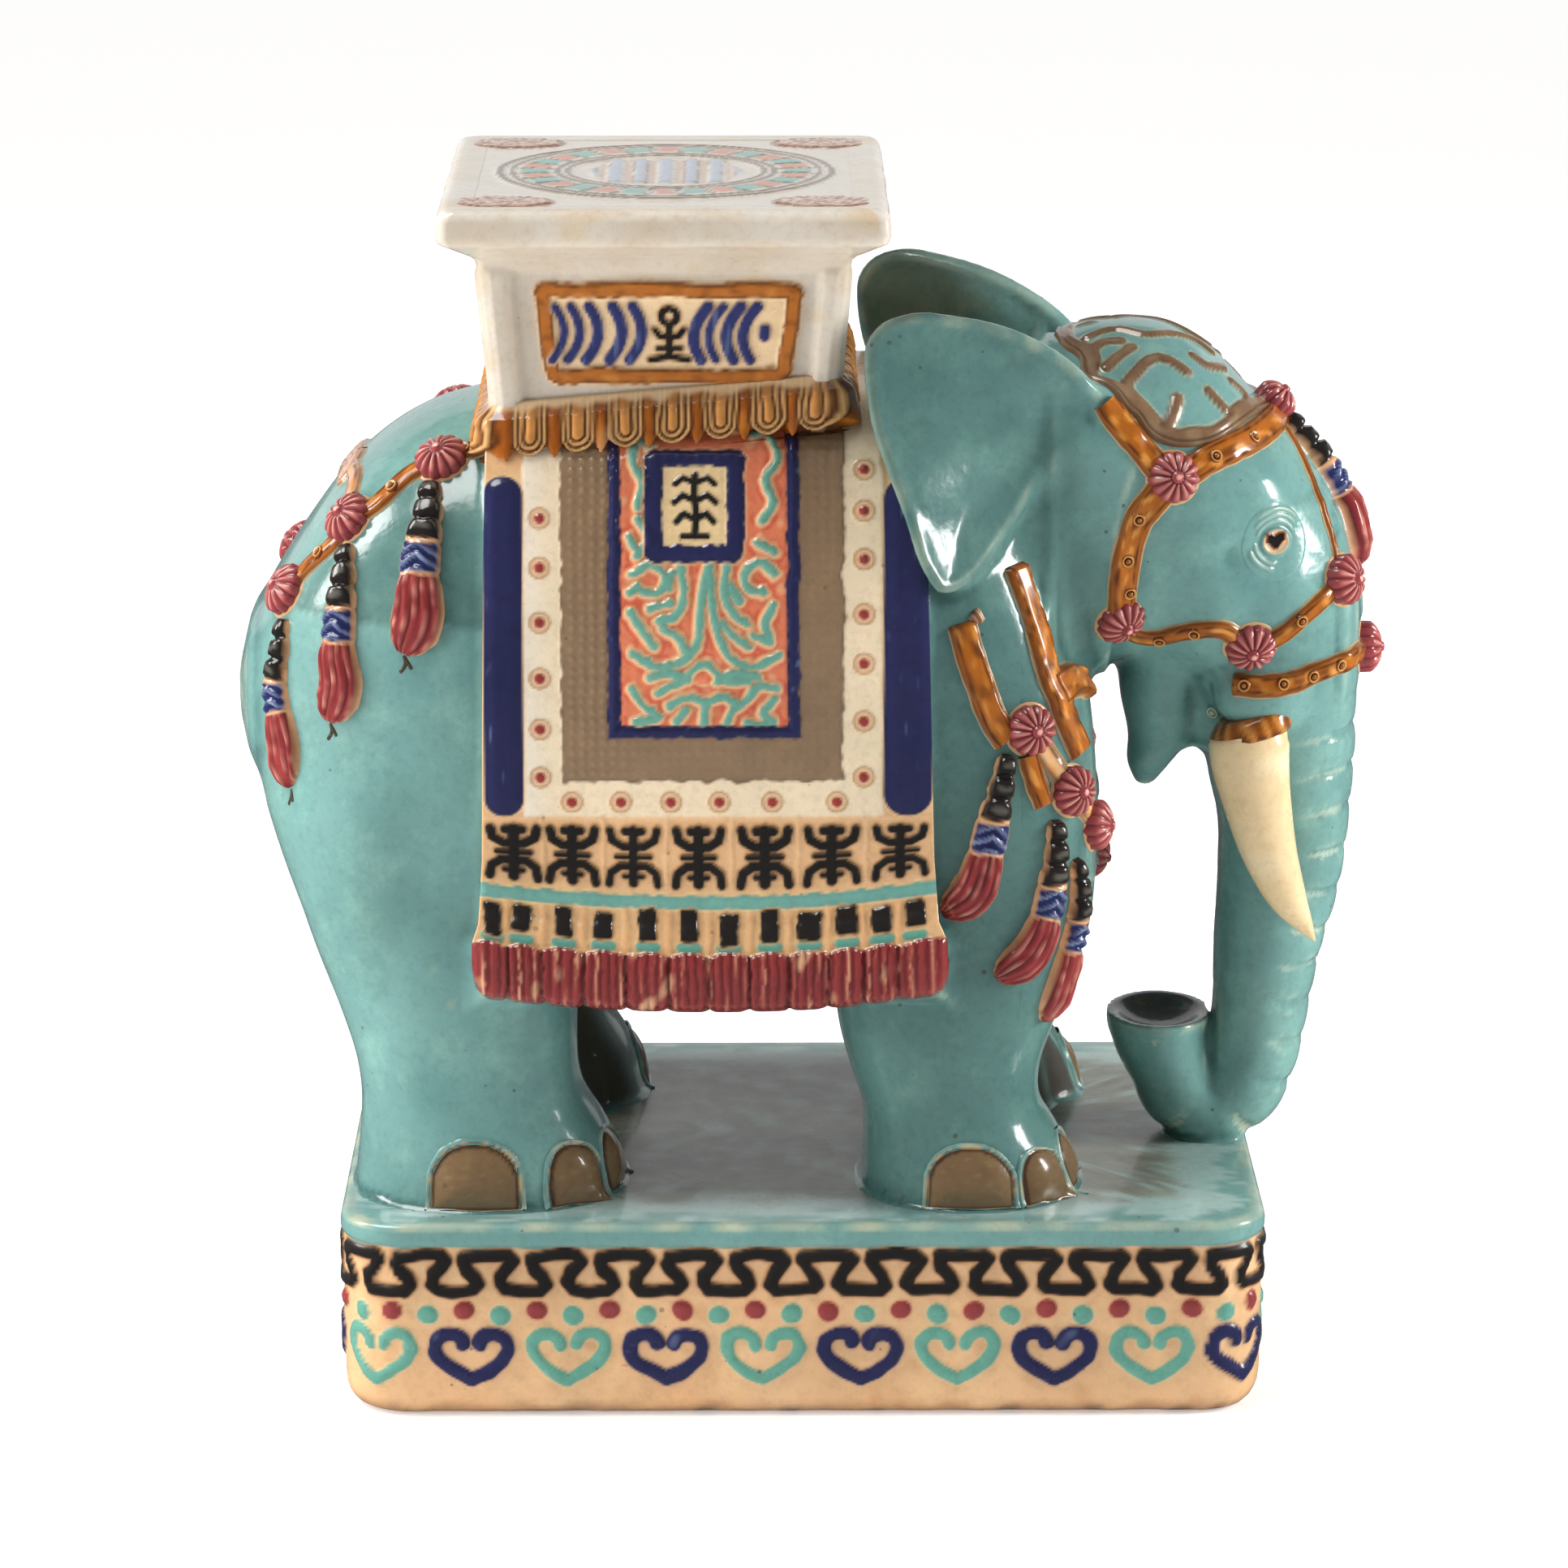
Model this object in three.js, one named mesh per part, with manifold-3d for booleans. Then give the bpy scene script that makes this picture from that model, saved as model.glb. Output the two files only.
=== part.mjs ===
// Glazed terracotta elephant garden stool: one fired piece. Lofted limbs, stacked outlines and small
// relief solids are joined into a single closed body.
// Units are millimetres. +X runs to the head, the near side is -Y, +Z is up, and the origin is the
// middle of the underside of the plinth.
import * as THREE from "three";
import { mergeVertices } from "three/addons/utils/BufferGeometryUtils.js";
import Module from "manifold-3d";

const wasm = await Module();
wasm.setup();

const X = new THREE.Vector3(1, 0, 0);
const UP = new THREE.Vector3(0, 0, 1);
const { lerp, smoothstep, mapLinear } = THREE.MathUtils;

// Driving dimensions of the plinth, the seat slab and the pedestal under it, which flares upwards.
const PLINTH = { length: 424, depth: 282, height: 93, corner: 30, foot: 14, rim: 10, proud: 1.5 };
const SEAT = { x: -62, top: 553, halfX: 100.5, halfY: 110, corner: 5, slab: 16 };
const PEDESTAL = { top: 526, foot: 440, halfX: 83.5, halfY: 88, footHalfX: 76, footHalfY: 80, wall: 3 };
const FRAME = { low: 473, high: 513, halfHigh: 61, halfLow: 54, border: 7, depth: 3, proud: 2 };
const POST = { radius: 6, foot: 452, top: 528, sides: 6 };
const FRILL = { along: 8, aside: 8, top: 462, drop: 22, scallop: 4, slope: 0.075, out: 6, lean: 4, sunk: 6 };

// Stations [x, y, z, half-width, half-depth] of the big forms, those of paired ones on the near side.
const BARREL = [
  [-261, 0, 310, 2, 3],
  [-257, 0, 314, 40, 28],
  [-247, 0, 315, 64, 46],
  [-230, 0, 312, 85, 76],
  [-205, 0, 308, 101, 112],
  [-170, 0, 314, 111, 130],
  [-110, 0, 322, 115, 133],
  [-50, 0, 324, 117, 134],
  [10, 0, 324, 116, 135],
  [60, 0, 318, 112, 134],
  [95, 0, 297, 104, 124],
  [120, 0, 275, 90, 88],
  [133, 0, 260, 66, 48],
  [137, 0, 255, 30, 20],
];
const HIND_LEG = [
  [-162, -55, 320, 50, 64],
  [-164, -62, 266, 52, 61],
  [-161, -64, 222, 51, 57],
  [-156, -66, 176, 49, 52],
  [-153, -67, 140, 48, 51],
  [-147, -68, 116, 51, 58],
  [-145, -68, 90, 54, 63],
];
const FORE_LEG = [
  [72, -50, 320, 46, 56],
  [74, -58, 270, 50, 58],
  [73, -62, 220, 50, 57],
  [67, -65, 174, 48, 51],
  [66, -66, 148, 46, 44],
  [69, -67, 131, 46, 41.5],
  [74, -68, 114, 50, 46],
  [78, -68, 90, 54, 51],
];
const NECK = [
  [40, 0, 392, 62, 60],
  [75, 0, 396, 70, 70],
  [110, 0, 396, 72, 78],
  [140, 0, 396, 68, 76],
];
const HEAD = [
  [106, 0, 402, 4, 4],
  [110, 0, 402, 44, 50],
  [124, 0, 403, 60, 74],
  [146, 0, 404, 66, 80],
  [168, 0, 402, 68, 80],
  [190, 0, 391, 66, 77],
  [206, 0, 383, 60, 67],
  [220, 0, 378, 53, 61],
  [235, 0, 371, 44, 54],
  [248, 0, 364, 34, 45],
  [258, 0, 357, 23, 30],
  [263, 0, 354, 3, 4],
];
const TRUNK = [
  [214, 0, 392, 40, 30],
  [222, 0, 352, 46, 41],
  [224, 0, 325, 43, 39],
  [224, 0, 300, 39, 36.5],
  [225, 0, 278, 36, 34.5],
  [228, 0, 248, 33, 30],
  [227, 0, 218, 30, 27.5],
  [223, 0, 187, 28, 26],
  [219, 0, 155, 26.5, 24.5],
  [218, 0, 134, 26, 24],
  [213, 0, 120, 26, 23.5],
  [202, 0, 110, 26, 22],
  [190, 0, 111, 26, 22],
  [179, 0, 122, 27, 23],
  [173, 0, 138, 28, 25],
  [169, 0, 157, 28, 26],
];
const JAW = [
  [176, 0, 352, 40, 26],
  [172, 0, 330, 34, 24],
  [168, 0, 308, 27, 19],
  [168, 0, 288, 20, 15],
  [163, 0, 274, 14, 10],
  [161, 0, 266, 8, 5],
];
const TUSK = [
  [214, -36, 318, 12, 12],
  [213, -40, 296, 13.5, 14],
  [214, -44, 268, 13.5, 14],
  [220, -46, 240, 12, 12.5],
  [229, -46, 216, 8.5, 9],
  [240, -45, 199, 2, 2],
];
// The open end of the trunk is a shallow dish, and the eye a small boss.
const NOSTRIL = [
  [169, 0, 150, 17, 15],
  [169, 0, 160, 22, 20],
];
const EYE = [
  [208, -52, 395, 2, 2],
  [213.5, -55, 395, 5, 4],
  [219, -50, 395, 2, 2],
];

// The near ear: its rim as [x, z], and how far it stands off the head.
const EAR = {
  hub: [96, 440],
  points: 16,
  root: 66,
  flare: 34,
  flared: [30, 135],
  droop: 10,
  drooped: [370, 460],
  dish: 9,
  thick: 4,
  rim: [
    [27, 471], [30, 493], [43, 503], [76, 503], [105, 496], [127, 477], [136, 455], [131, 426],
    [113, 396], [95, 381], [73, 370], [51, 388], [40, 411], [31, 440],
  ],
};

// The cloths over the back: where they end, and half of their cross section as [y, z].
const CLOTH = {
  tail: [-142, -149],
  head: [55, 66],
  section: [[0, 462], [60, 457], [86, 443], [102, 415], [113, 375], [119, 310], [121, 234], [125, 227],
    [128.5, 212], [127, 197], [122, 191], [0, 189]],
};

// The raised panel in the middle of the cloth.
const PANEL = { tail: -88, head: -2, low: 315, high: 450, bends: [415, 375], rise: 1.8, sunk: 4 };

// Relief laid on the body. Its places are points near the near side's surface, moved on to it along
// the line from a hub inside the body, and all but the middle ones are repeated on the far side.
const HUBS = {
  rump: new THREE.Vector3(-180, 0, 320),
  chest: new THREE.Vector3(60, 0, 310),
  head: new THREE.Vector3(190, 0, 385),
  trunk: new THREE.Vector3(222, 0, 318),
};
const REACH = 25;
const ROSETTE = { radius: 11, sides: 8, sunk: 5, rise: 3.5, height: 6.5, crown: 0.45 };
const STRAP = { half: 5, rise: 2.2, sunk: 3, step: 42 };
const STRAPS = [
  ["rump", [[-140, -72, 444], [-163, -60, 432], [-205, -60, 404], [-236, -46, 368], [-250, 0, 345]]],
  ["chest", [[70, -105, 368], [80, -105, 342], [99, -100, 318], [123, -84, 286], [136, -33, 258],
    [137, 0, 252]]],
  ["chest", [[93, -88, 390], [108, -81, 355], [124, -60, 326], [131, -35, 300], [134, 0, 285]]],
  ["head", [[126, -69, 474], [147, -62, 448], [167, -66, 424], [196, -56, 437], [216, -20, 447],
    [220, 0, 449]]],
  ["head", [[167, -66, 424], [151, -66, 404], [145, -58, 358]]],
  ["head", [[145, -56, 358], [168, -52, 346], [204, -50, 344], [228, -46, 352], [247, -36, 370],
    [257, 0, 384]]],
];
const ROSETTES = [
  ["rump", [-163, -60, 431]],
  ["rump", [-205, -60, 404]],
  ["rump", [-236, -46, 368]],
  ["chest", [100, -99, 318]],
  ["chest", [123, -84, 286]],
  ["chest", [136, -33, 258]],
  ["head", [167, -65, 425]],
  ["head", [145, -56, 358]],
  ["head", [204, -50, 344]],
  ["head", [247, -36, 371]],
];
const MIDDLE_ROSETTES = [
  ["head", [224, 0, 449]],
  ["trunk", [262, 0, 333]],
];
// Half-width and rise of a tassel from its knot to its tip: corded top, waist, then the skirt.
const TASSEL = [[0, 4, 3], [0.12, 7, 5.5], [0.5, 7.5, 5.5], [0.62, 9.5, 7], [0.86, 10.5, 7], [1, 4, 2]];
const TASSELS = [
  ["rump", [[-165, -70, 420], [-171, -96, 390], [-177, -106, 350]]],
  ["rump", [[-205, -72, 394], [-207, -90, 360], [-214, -95, 319]]],
  ["rump", [[-236, -60, 354], [-237, -74, 324], [-236, -76, 283]]],
  ["chest", [[97, -101, 306], [84, -107, 268], [64, -112, 230]]],
  ["chest", [[118, -92, 273], [112, -100, 240], [89, -112, 199]]],
  ["chest", [[132, -60, 245], [124, -84, 217], [112, -92, 180]]],
];
const BROW_TASSEL = ["head", [[231, 0, 440], [252, 0, 415], [264, 0, 380]]];

// Toenails are round-topped plates on the front of each foot, [x, y, turn, half-width, height].
const TOES = [
  [-150, -121, 0, 20, 29],
  [-103, -113, 0.5, 16, 27],
  [-86, -78, 1.2, 14, 26],
  [77, -121, 0, 20, 27],
  [115, -110, 0.6, 16, 25],
  [126, -76, 1.3, 14, 25],
];
const TOE = { depth: 9, sunk: 7, lean: 0.12, arcs: 3 };

// Turns a closed geometry into a solid, with its faces out whichever way its rings were run.
function solid(geometry) {
  const merged = mergeVertices(geometry.clone().deleteAttribute("normal").deleteAttribute("uv"), 1e-4);
  const vertProperties = merged.attributes.position.array;
  const make = (triVerts) => new wasm.Manifold(new wasm.Mesh({ numProp: 3, vertProperties, triVerts }));
  const made = make(new Uint32Array(merged.index.array));
  return made.volume() > 0 ? made : make(new Uint32Array(merged.index.array).reverse());
}

// A geometry and its mirror image on the other side of the elephant, as two solids.
function pair(geometry) {
  return [solid(geometry), solid(geometry.clone().scale(1, -1, 1))];
}

function union(parts) {
  return parts.reduce((whole, part) => whole.add(part));
}

// Fits a capped cylinder to a stack of equal rings of points.
function skin(rings) {
  const sides = rings[0].length;
  const levels = rings.length - 1;
  const cylinder = new THREE.CylinderGeometry(1, 1, levels, sides, levels);
  const place = cylinder.attributes.position;
  for (let i = 0; i < place.count; i++) {
    const ring = rings[Math.round(levels / 2 - place.getY(i))];
    const middle = ring.reduce((sum, p) => sum.add(p), new THREE.Vector3()).divideScalar(sides);
    const turn = Math.atan2(place.getX(i), place.getZ(i)) / (2 * Math.PI);
    const onEdge = Math.hypot(place.getX(i), place.getZ(i)) > 0.5;
    const point = onEdge ? ring[(Math.round(turn * sides) + sides) % sides] : middle;
    place.setXYZ(i, point.x, point.y, point.z);
  }
  return cylinder;
}

// A limb lofted through its stations, round where power is 2 and boxier above it. Its sections stand
// square to its centre line, or to `along` where that is given.
function limb(stations, sides, power = 2, along = null) {
  const centres = stations.map(([x, y, z]) => new THREE.Vector3(x, y, z));
  return skin(
    stations.map(([, , , wide, thick], i) => {
      const before = centres[Math.max(0, i - 1)];
      const after = centres[Math.min(centres.length - 1, i + 1)];
      const way = along ?? after.clone().sub(before).normalize();
      const across = new THREE.Vector3(0, 1, 0).addScaledVector(way, -way.y).normalize();
      const deep = new THREE.Vector3().crossVectors(way, across);
      return Array.from({ length: sides }, (_, side) => {
        const angle = ((side + 0.5) / sides) * 2 * Math.PI;
        const [c, d] = [Math.cos(angle), Math.sin(angle)];
        const r = (Math.abs(c) ** power + Math.abs(d) ** power) ** (-1 / power);
        return centres[i].clone().addScaledVector(across, wide * r * c).addScaledVector(deep, thick * r * d);
      });
    }),
  );
}

// A rounded rectangle about (x, 0) as a ring of points at height z.
function roundedRing(x, halfX, halfY, corner, z, arcs) {
  const signs = [[1, -1], [1, 1], [-1, 1], [-1, -1]];
  return signs.flatMap(([sx, sy], quarter) =>
    Array.from({ length: arcs + 1 }, (_, i) => {
      const angle = (quarter - 1 + i / arcs) * (Math.PI / 2);
      const px = x + sx * (halfX - corner) + corner * Math.cos(angle);
      return new THREE.Vector3(px, sy * (halfY - corner) + corner * Math.sin(angle), z);
    }),
  );
}

function plinth() {
  const { length, depth, height, corner, foot, rim, proud } = PLINTH;
  const inset = (z, by) => roundedRing(0, length / 2 - by, depth / 2 - by, corner - by, z, 3);
  const base = [0, 1, 2].map((step) => {
    const angle = (step / 2) * (Math.PI / 2);
    return inset(foot * (1 - Math.cos(angle)), proud + foot * (1 - Math.sin(angle)) * 0.7);
  });
  const top = [[rim, proud], [rim - 1, 0], [3, 0.5], [0, 5]];
  return solid(skin([...base, ...top.map(([below, by]) => inset(height - below, by))]));
}

function seat() {
  const { x, top, halfX, halfY, corner, slab } = SEAT;
  const { foot, wall, ...p } = PEDESTAL;
  const level = (z, dx, dy) => roundedRing(x, halfX - dx, halfY - dy, corner, z, 2);
  return solid(
    skin([
      level(foot, halfX - p.footHalfX + wall, halfY - p.footHalfY + wall),
      level(p.top - 6, halfX - p.halfX + wall, halfY - p.halfY + wall),
      level(p.top, halfX - p.halfX, halfY - p.halfY),
      level(p.top + 6, 12, 12),
      level(top - slab, 4, 4),
      level(top - slab + 3, 0.5, 0.5),
      level(top - 5, 0, 0),
      level(top, 2.5, 2.5),
    ]),
  );
}

// A frame of four bars on each sloping side of the pedestal.
function pedestalFrames() {
  const { low, high, halfHigh, halfLow, border, depth, proud } = FRAME;
  const { foot, top, halfX, halfY, footHalfX, footHalfY, wall } = PEDESTAL;
  const trapezium = (inset) => {
    const [base, crown] = [halfLow - inset, halfHigh - inset];
    const corners = [[-base, low + inset], [base, low + inset], [crown, high - inset], [-crown, high - inset]];
    return corners.map(([across, z]) => new THREE.Vector2(across, z));
  };
  const shape = new THREE.Shape(trapezium(0));
  shape.holes.push(new THREE.Path(trapezium(border)));
  return [0, 1, 2, 3].map((quarter) => {
    const [upper, lower] = quarter % 2 ? [halfX, footHalfX] : [halfY, footHalfY];
    const slope = (upper - lower) / (top - foot);
    const frame = new THREE.ExtrudeGeometry(shape, { depth, bevelEnabled: false });
    frame.rotateX(Math.PI / 2).translate(0, depth - proud, 0);
    const place = frame.attributes.position;
    for (let i = 0; i < place.count; i++) {
      place.setY(i, place.getY(i) - (lower - wall) - slope * (place.getZ(i) - foot));
    }
    return solid(frame.rotateZ((quarter * Math.PI) / 2).translate(SEAT.x, 0, 0));
  });
}

function posts() {
  const { top, foot, halfX, halfY, footHalfX, footHalfY } = PEDESTAL;
  const { radius, sides } = POST;
  const corner = (z, side) => {
    const rise = (z - foot) / (top - foot);
    const x = SEAT.x + side * (lerp(footHalfX, halfX, rise) - radius);
    return [x, radius - lerp(footHalfY, halfY, rise), z, radius, radius];
  };
  return [-1, 1].flatMap((side) => pair(limb([corner(POST.foot, side), corner(POST.top, side)], sides, 2, UP)));
}

// The frill is a band round the foot of the pedestal, with a scalloped lower edge, that slopes with
// the back.
function frill() {
  const { footHalfX, footHalfY } = PEDESTAL;
  const { along, aside, top, drop, scallop, slope, out, lean, sunk } = FRILL;
  const corners = [[-1, -1], [1, -1], [1, 1], [-1, 1]].map(([a, b]) => new THREE.Vector2(a, b));
  const outline = corners.flatMap((corner, i) => {
    const points = 2 * (i % 2 ? aside : along);
    return Array.from({ length: points }, (_, k) => corner.clone().lerp(corners[(i + 1) % 4], k / points));
  });
  const level = (off, z, wave) =>
    outline.map((p, k) => {
      const x = p.x * (footHalfX + off);
      return new THREE.Vector3(SEAT.x + x, p.y * (footHalfY + off), z + x * slope + (k % 2 ? -wave : wave));
    });
  const crown = [level(-sunk, top, 0), level(out, top, 0)];
  const hem = [level(out + lean, top - drop, scallop), level(-sunk, top - drop, scallop)];
  return solid(skin([...crown, ...hem]));
}

// The ear is a dished fan: rings of its rim's shape, shrunk towards a hub, over its two faces.
function ear() {
  const [hubX, hubZ] = EAR.hub;
  const curve = new THREE.CatmullRomCurve3(EAR.rim.map(([x, z]) => new THREE.Vector3(x, 0, z)), true);
  const rim = curve.getPoints(EAR.points).slice(0, -1);
  const faces = [[0.2, 1], [0.65, 1], [0.95, 0.8], [1, 0], [0.96, -0.8], [0.3, -1]];
  return skin(
    faces.map(([reach, face]) =>
      rim.map((p) => {
        const x = lerp(hubX, p.x, reach);
        const z = lerp(hubZ, p.z, reach);
        const flare = EAR.flare * (1 - smoothstep(x, ...EAR.flared));
        const droop = EAR.droop * (1 - smoothstep(z, ...EAR.drooped));
        const dish = face > 0 ? EAR.dish * (1 - reach * reach) : 0;
        return new THREE.Vector3(x, dish - EAR.root - flare - droop - EAR.thick * face, z);
      }),
    ),
  );
}

function cloth() {
  const half = CLOTH.section;
  const outline = [...half.map(([y, z]) => [-y, z]), ...half.slice(1, -1).reverse()];
  const [high, low] = [half[0][1], half[half.length - 1][1]];
  const end = (edge) => outline.map(([y, z]) => new THREE.Vector3(mapLinear(z, high, low, ...edge), y, z));
  return skin([end(CLOTH.tail), end(CLOTH.head)]);
}

// A slab that follows the cloth's near side between two heights.
function panel() {
  const { tail, head, low, high, bends, rise, sunk } = PANEL;
  const out = (z) => {
    const i = CLOTH.section.findIndex((p) => p[1] <= z);
    const [[y0, z0], [y1, z1]] = [CLOTH.section[i - 1], CLOTH.section[i]];
    return mapLinear(z, z0, z1, y0, y1);
  };
  const levels = [high, ...bends, low];
  const outer = levels.map((z) => [-out(z) - rise, z]);
  const inner = levels.map((z) => [sunk - out(z), z]).reverse();
  const end = (x) => [...outer, ...inner].map(([y, z]) => new THREE.Vector3(x, y, z));
  return skin([end(tail), end(head)]);
}

function toe([x, y, turn, half, height]) {
  const shape = new THREE.Shape();
  shape.moveTo(half, 0);
  shape.lineTo(half, height - half);
  shape.absarc(0, height - half, half, 0, Math.PI);
  shape.lineTo(-half, 0);
  const size = { depth: TOE.depth, bevelEnabled: false, curveSegments: TOE.arcs };
  const plate = new THREE.ExtrudeGeometry(shape, size).translate(0, 0, -TOE.sunk);
  return plate.rotateX(Math.PI / 2 - TOE.lean).rotateZ(turn).translate(x, y, PLINTH.height - 1);
}

// A three.js mesh of a solid.
function meshOf(made, name, material) {
  const { vertProperties, triVerts, numProp, numVert } = made.getMesh();
  const positions = new Float32Array(numVert * 3);
  for (let i = 0; i < numVert; i++) {
    positions.set(vertProperties.subarray(i * numProp, i * numProp + 3), i * 3);
  }
  const geometry = new THREE.BufferGeometry();
  geometry.setAttribute("position", new THREE.BufferAttribute(positions, 3));
  geometry.setIndex(new THREE.BufferAttribute(triVerts, 1));
  geometry.computeVertexNormals();
  const mesh = new THREE.Mesh(geometry, material);
  mesh.name = name;
  return mesh;
}

const glaze = new THREE.MeshStandardMaterial({ color: 0x76b2ae, roughness: 0.18, metalness: 0 });

const body = union([
  solid(limb(BARREL, 20, 2.6, X)),
  ...pair(limb(HIND_LEG, 12, 2.3, UP)),
  ...pair(limb(FORE_LEG, 12, 2.3, UP)),
  solid(limb(NECK, 14, 2.3, X)),
  solid(limb(HEAD, 16, 2.2, X)),
  solid(limb(TRUNK, 12)),
  solid(limb(JAW, 10, 2, UP)),
  ...pair(limb(TUSK, 8, 2, UP)),
  ...pair(ear()),
  solid(cloth()),
]);
const bare = meshOf(body, "bare_body", glaze);
const caster = new THREE.Raycaster();

// The point of the body under a place near it, and the way the relief on it faces there.
function touch(hub, place) {
  const way = place.clone().sub(HUBS[hub]).normalize();
  caster.set(place.clone().addScaledVector(way, REACH), way.clone().negate());
  const hit = caster.intersectObject(bare)[0];
  return { point: hit.point, normal: hit.face.normal.clone().add(way).normalize() };
}

// The spots of the body under some places, each with the way across the line that they make.
function trail(hub, places) {
  const spots = places.map((place) => touch(hub, place));
  return spots.map((spot, i) => {
    const before = spots[Math.max(0, i - 1)].point;
    const after = spots[Math.min(spots.length - 1, i + 1)].point;
    return { ...spot, across: after.clone().sub(before).cross(spot.normal).normalize() };
  });
}

// Moves a spot's point across and outwards.
function shift({ point, normal, across }, aside, out) {
  return point.clone().addScaledVector(across, aside).addScaledVector(normal, out);
}

function route(places) {
  return new THREE.CatmullRomCurve3(places.map((p) => new THREE.Vector3(...p)));
}

function strap([hub, places]) {
  const curve = route(places);
  const spots = trail(hub, curve.getSpacedPoints(Math.round(curve.getLength() / STRAP.step)));
  const { half, rise, sunk } = STRAP;
  const section = [[half, rise], [-half, rise], [-half, -sunk], [half, -sunk]];
  return skin(spots.map((spot) => section.map(([aside, out]) => shift(spot, aside, out))));
}

function tassel([hub, places]) {
  const curve = route(places);
  const spots = trail(hub, TASSEL.map(([along]) => curve.getPointAt(along)));
  const section = [[1, -0.6], [0.6, 1], [-0.6, 1], [-1, -0.6]];
  return skin(
    TASSEL.map(([, half, rise], i) => section.map(([aside, out]) => shift(spots[i], aside * half, out * rise))),
  );
}

function rosette([hub, place]) {
  const { radius, sides, sunk, rise, height, crown } = ROSETTE;
  const { point, normal } = touch(hub, new THREE.Vector3(...place));
  const levels = [[-sunk, radius], [rise, radius], [height, radius * crown]];
  return skin(
    levels.map(([out, r]) =>
      Array.from({ length: sides }, (_, i) => {
        const angle = (i / sides) * 2 * Math.PI;
        const flat = new THREE.Vector3(r * Math.cos(angle), r * Math.sin(angle), out);
        return flat.applyQuaternion(new THREE.Quaternion().setFromUnitVectors(UP, normal)).add(point);
      }),
    ),
  );
}

const relief = [
  ...STRAPS.flatMap((item) => pair(strap(item))),
  ...ROSETTES.flatMap((item) => pair(rosette(item))),
  ...MIDDLE_ROSETTES.map((item) => solid(rosette(item))),
  ...TASSELS.flatMap((item) => pair(tassel(item))),
  solid(tassel(BROW_TASSEL)),
  ...pair(panel()),
  ...TOES.flatMap((item) => pair(toe(item))),
  ...pair(limb(EYE, 6, 2, X)),
];
const furniture = [plinth(), seat(), ...pedestalFrames(), ...posts(), frill()];
const nostrils = solid(limb(NOSTRIL, 10, 2, UP));

const stool = new THREE.Group();
stool.add(meshOf(union([body, ...furniture, ...relief]).subtract(nostrils), "elephant_stool", glaze));

export default stool;
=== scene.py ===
# Looks of the glazed terracotta elephant garden stool: the fired body as one smooth skin, with the
# plinth, the cloths, the seat and the harness laid over it as relief under coloured glazes.
# Shapes are worked out in millimetres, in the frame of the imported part, and made in metres.
import math

import bpy
import numpy as np
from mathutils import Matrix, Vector


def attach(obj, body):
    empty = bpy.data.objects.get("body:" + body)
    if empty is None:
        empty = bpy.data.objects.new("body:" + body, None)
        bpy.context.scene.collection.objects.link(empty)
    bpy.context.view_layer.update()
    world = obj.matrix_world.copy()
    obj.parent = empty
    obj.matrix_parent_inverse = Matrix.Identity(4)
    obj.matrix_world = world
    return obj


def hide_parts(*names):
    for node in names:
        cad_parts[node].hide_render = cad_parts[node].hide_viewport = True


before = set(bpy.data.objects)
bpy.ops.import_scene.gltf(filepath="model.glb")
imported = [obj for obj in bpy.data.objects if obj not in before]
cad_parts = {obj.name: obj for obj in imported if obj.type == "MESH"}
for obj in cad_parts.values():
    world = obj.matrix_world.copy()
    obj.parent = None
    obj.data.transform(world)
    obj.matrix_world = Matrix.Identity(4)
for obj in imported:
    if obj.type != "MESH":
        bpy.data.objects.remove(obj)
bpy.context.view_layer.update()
NODE = "elephant_stool"


def ink(red, green, blue):
    """A colour seen on the stool, as linear values."""
    c = np.array([red, green, blue]) / 255
    return np.where(c <= 0.04045, c / 12.92, ((c + 0.055) / 1.055) ** 2.4)


TURQUOISE = ink(112, 155, 151)
TURQUOISE_DEEP = ink(50, 90, 88)
SHELL = ink(196, 208, 184)
PEACH = ink(226, 180, 132)
CREAM = ink(234, 214, 182)
WHITE = ink(236, 228, 216)
OCHRE = ink(168, 94, 26)
OCHRE_DARK = ink(84, 44, 18)
MAROON = ink(144, 60, 60)
MAROON_PALE = ink(224, 164, 148)
MAROON_DARK = ink(88, 30, 32)
BLUE = ink(38, 40, 80)
BLUE_PALE = ink(104, 120, 160)
BROWN = ink(138, 112, 86)
BLACK = ink(32, 28, 26)
CORAL = ink(228, 128, 92)
CORAL_RED = ink(214, 88, 68)
SCROLL = ink(98, 158, 142)
IVORY = ink(226, 200, 156)
NAIL = ink(120, 96, 68)
ROSE = ink(152, 66, 70)


def smooth(low, high, x):
    t = np.clip((x - low) / (high - low), 0, 1)
    return t * t * (3 - 2 * t)


def line_at(d, at, outer, inner):
    """A soft line where d is `at`: whole within `inner` of it, and gone beyond `outer`."""
    return smooth(outer, inner, np.abs(d - at))


def unit(vectors):
    return vectors / np.linalg.norm(vectors, axis=-1, keepdims=True)


def running(points):
    """Length along a line of points, up to each of them."""
    return np.concatenate([[0], np.cumsum(np.linalg.norm(np.diff(points, axis=0), axis=1))])


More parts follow.
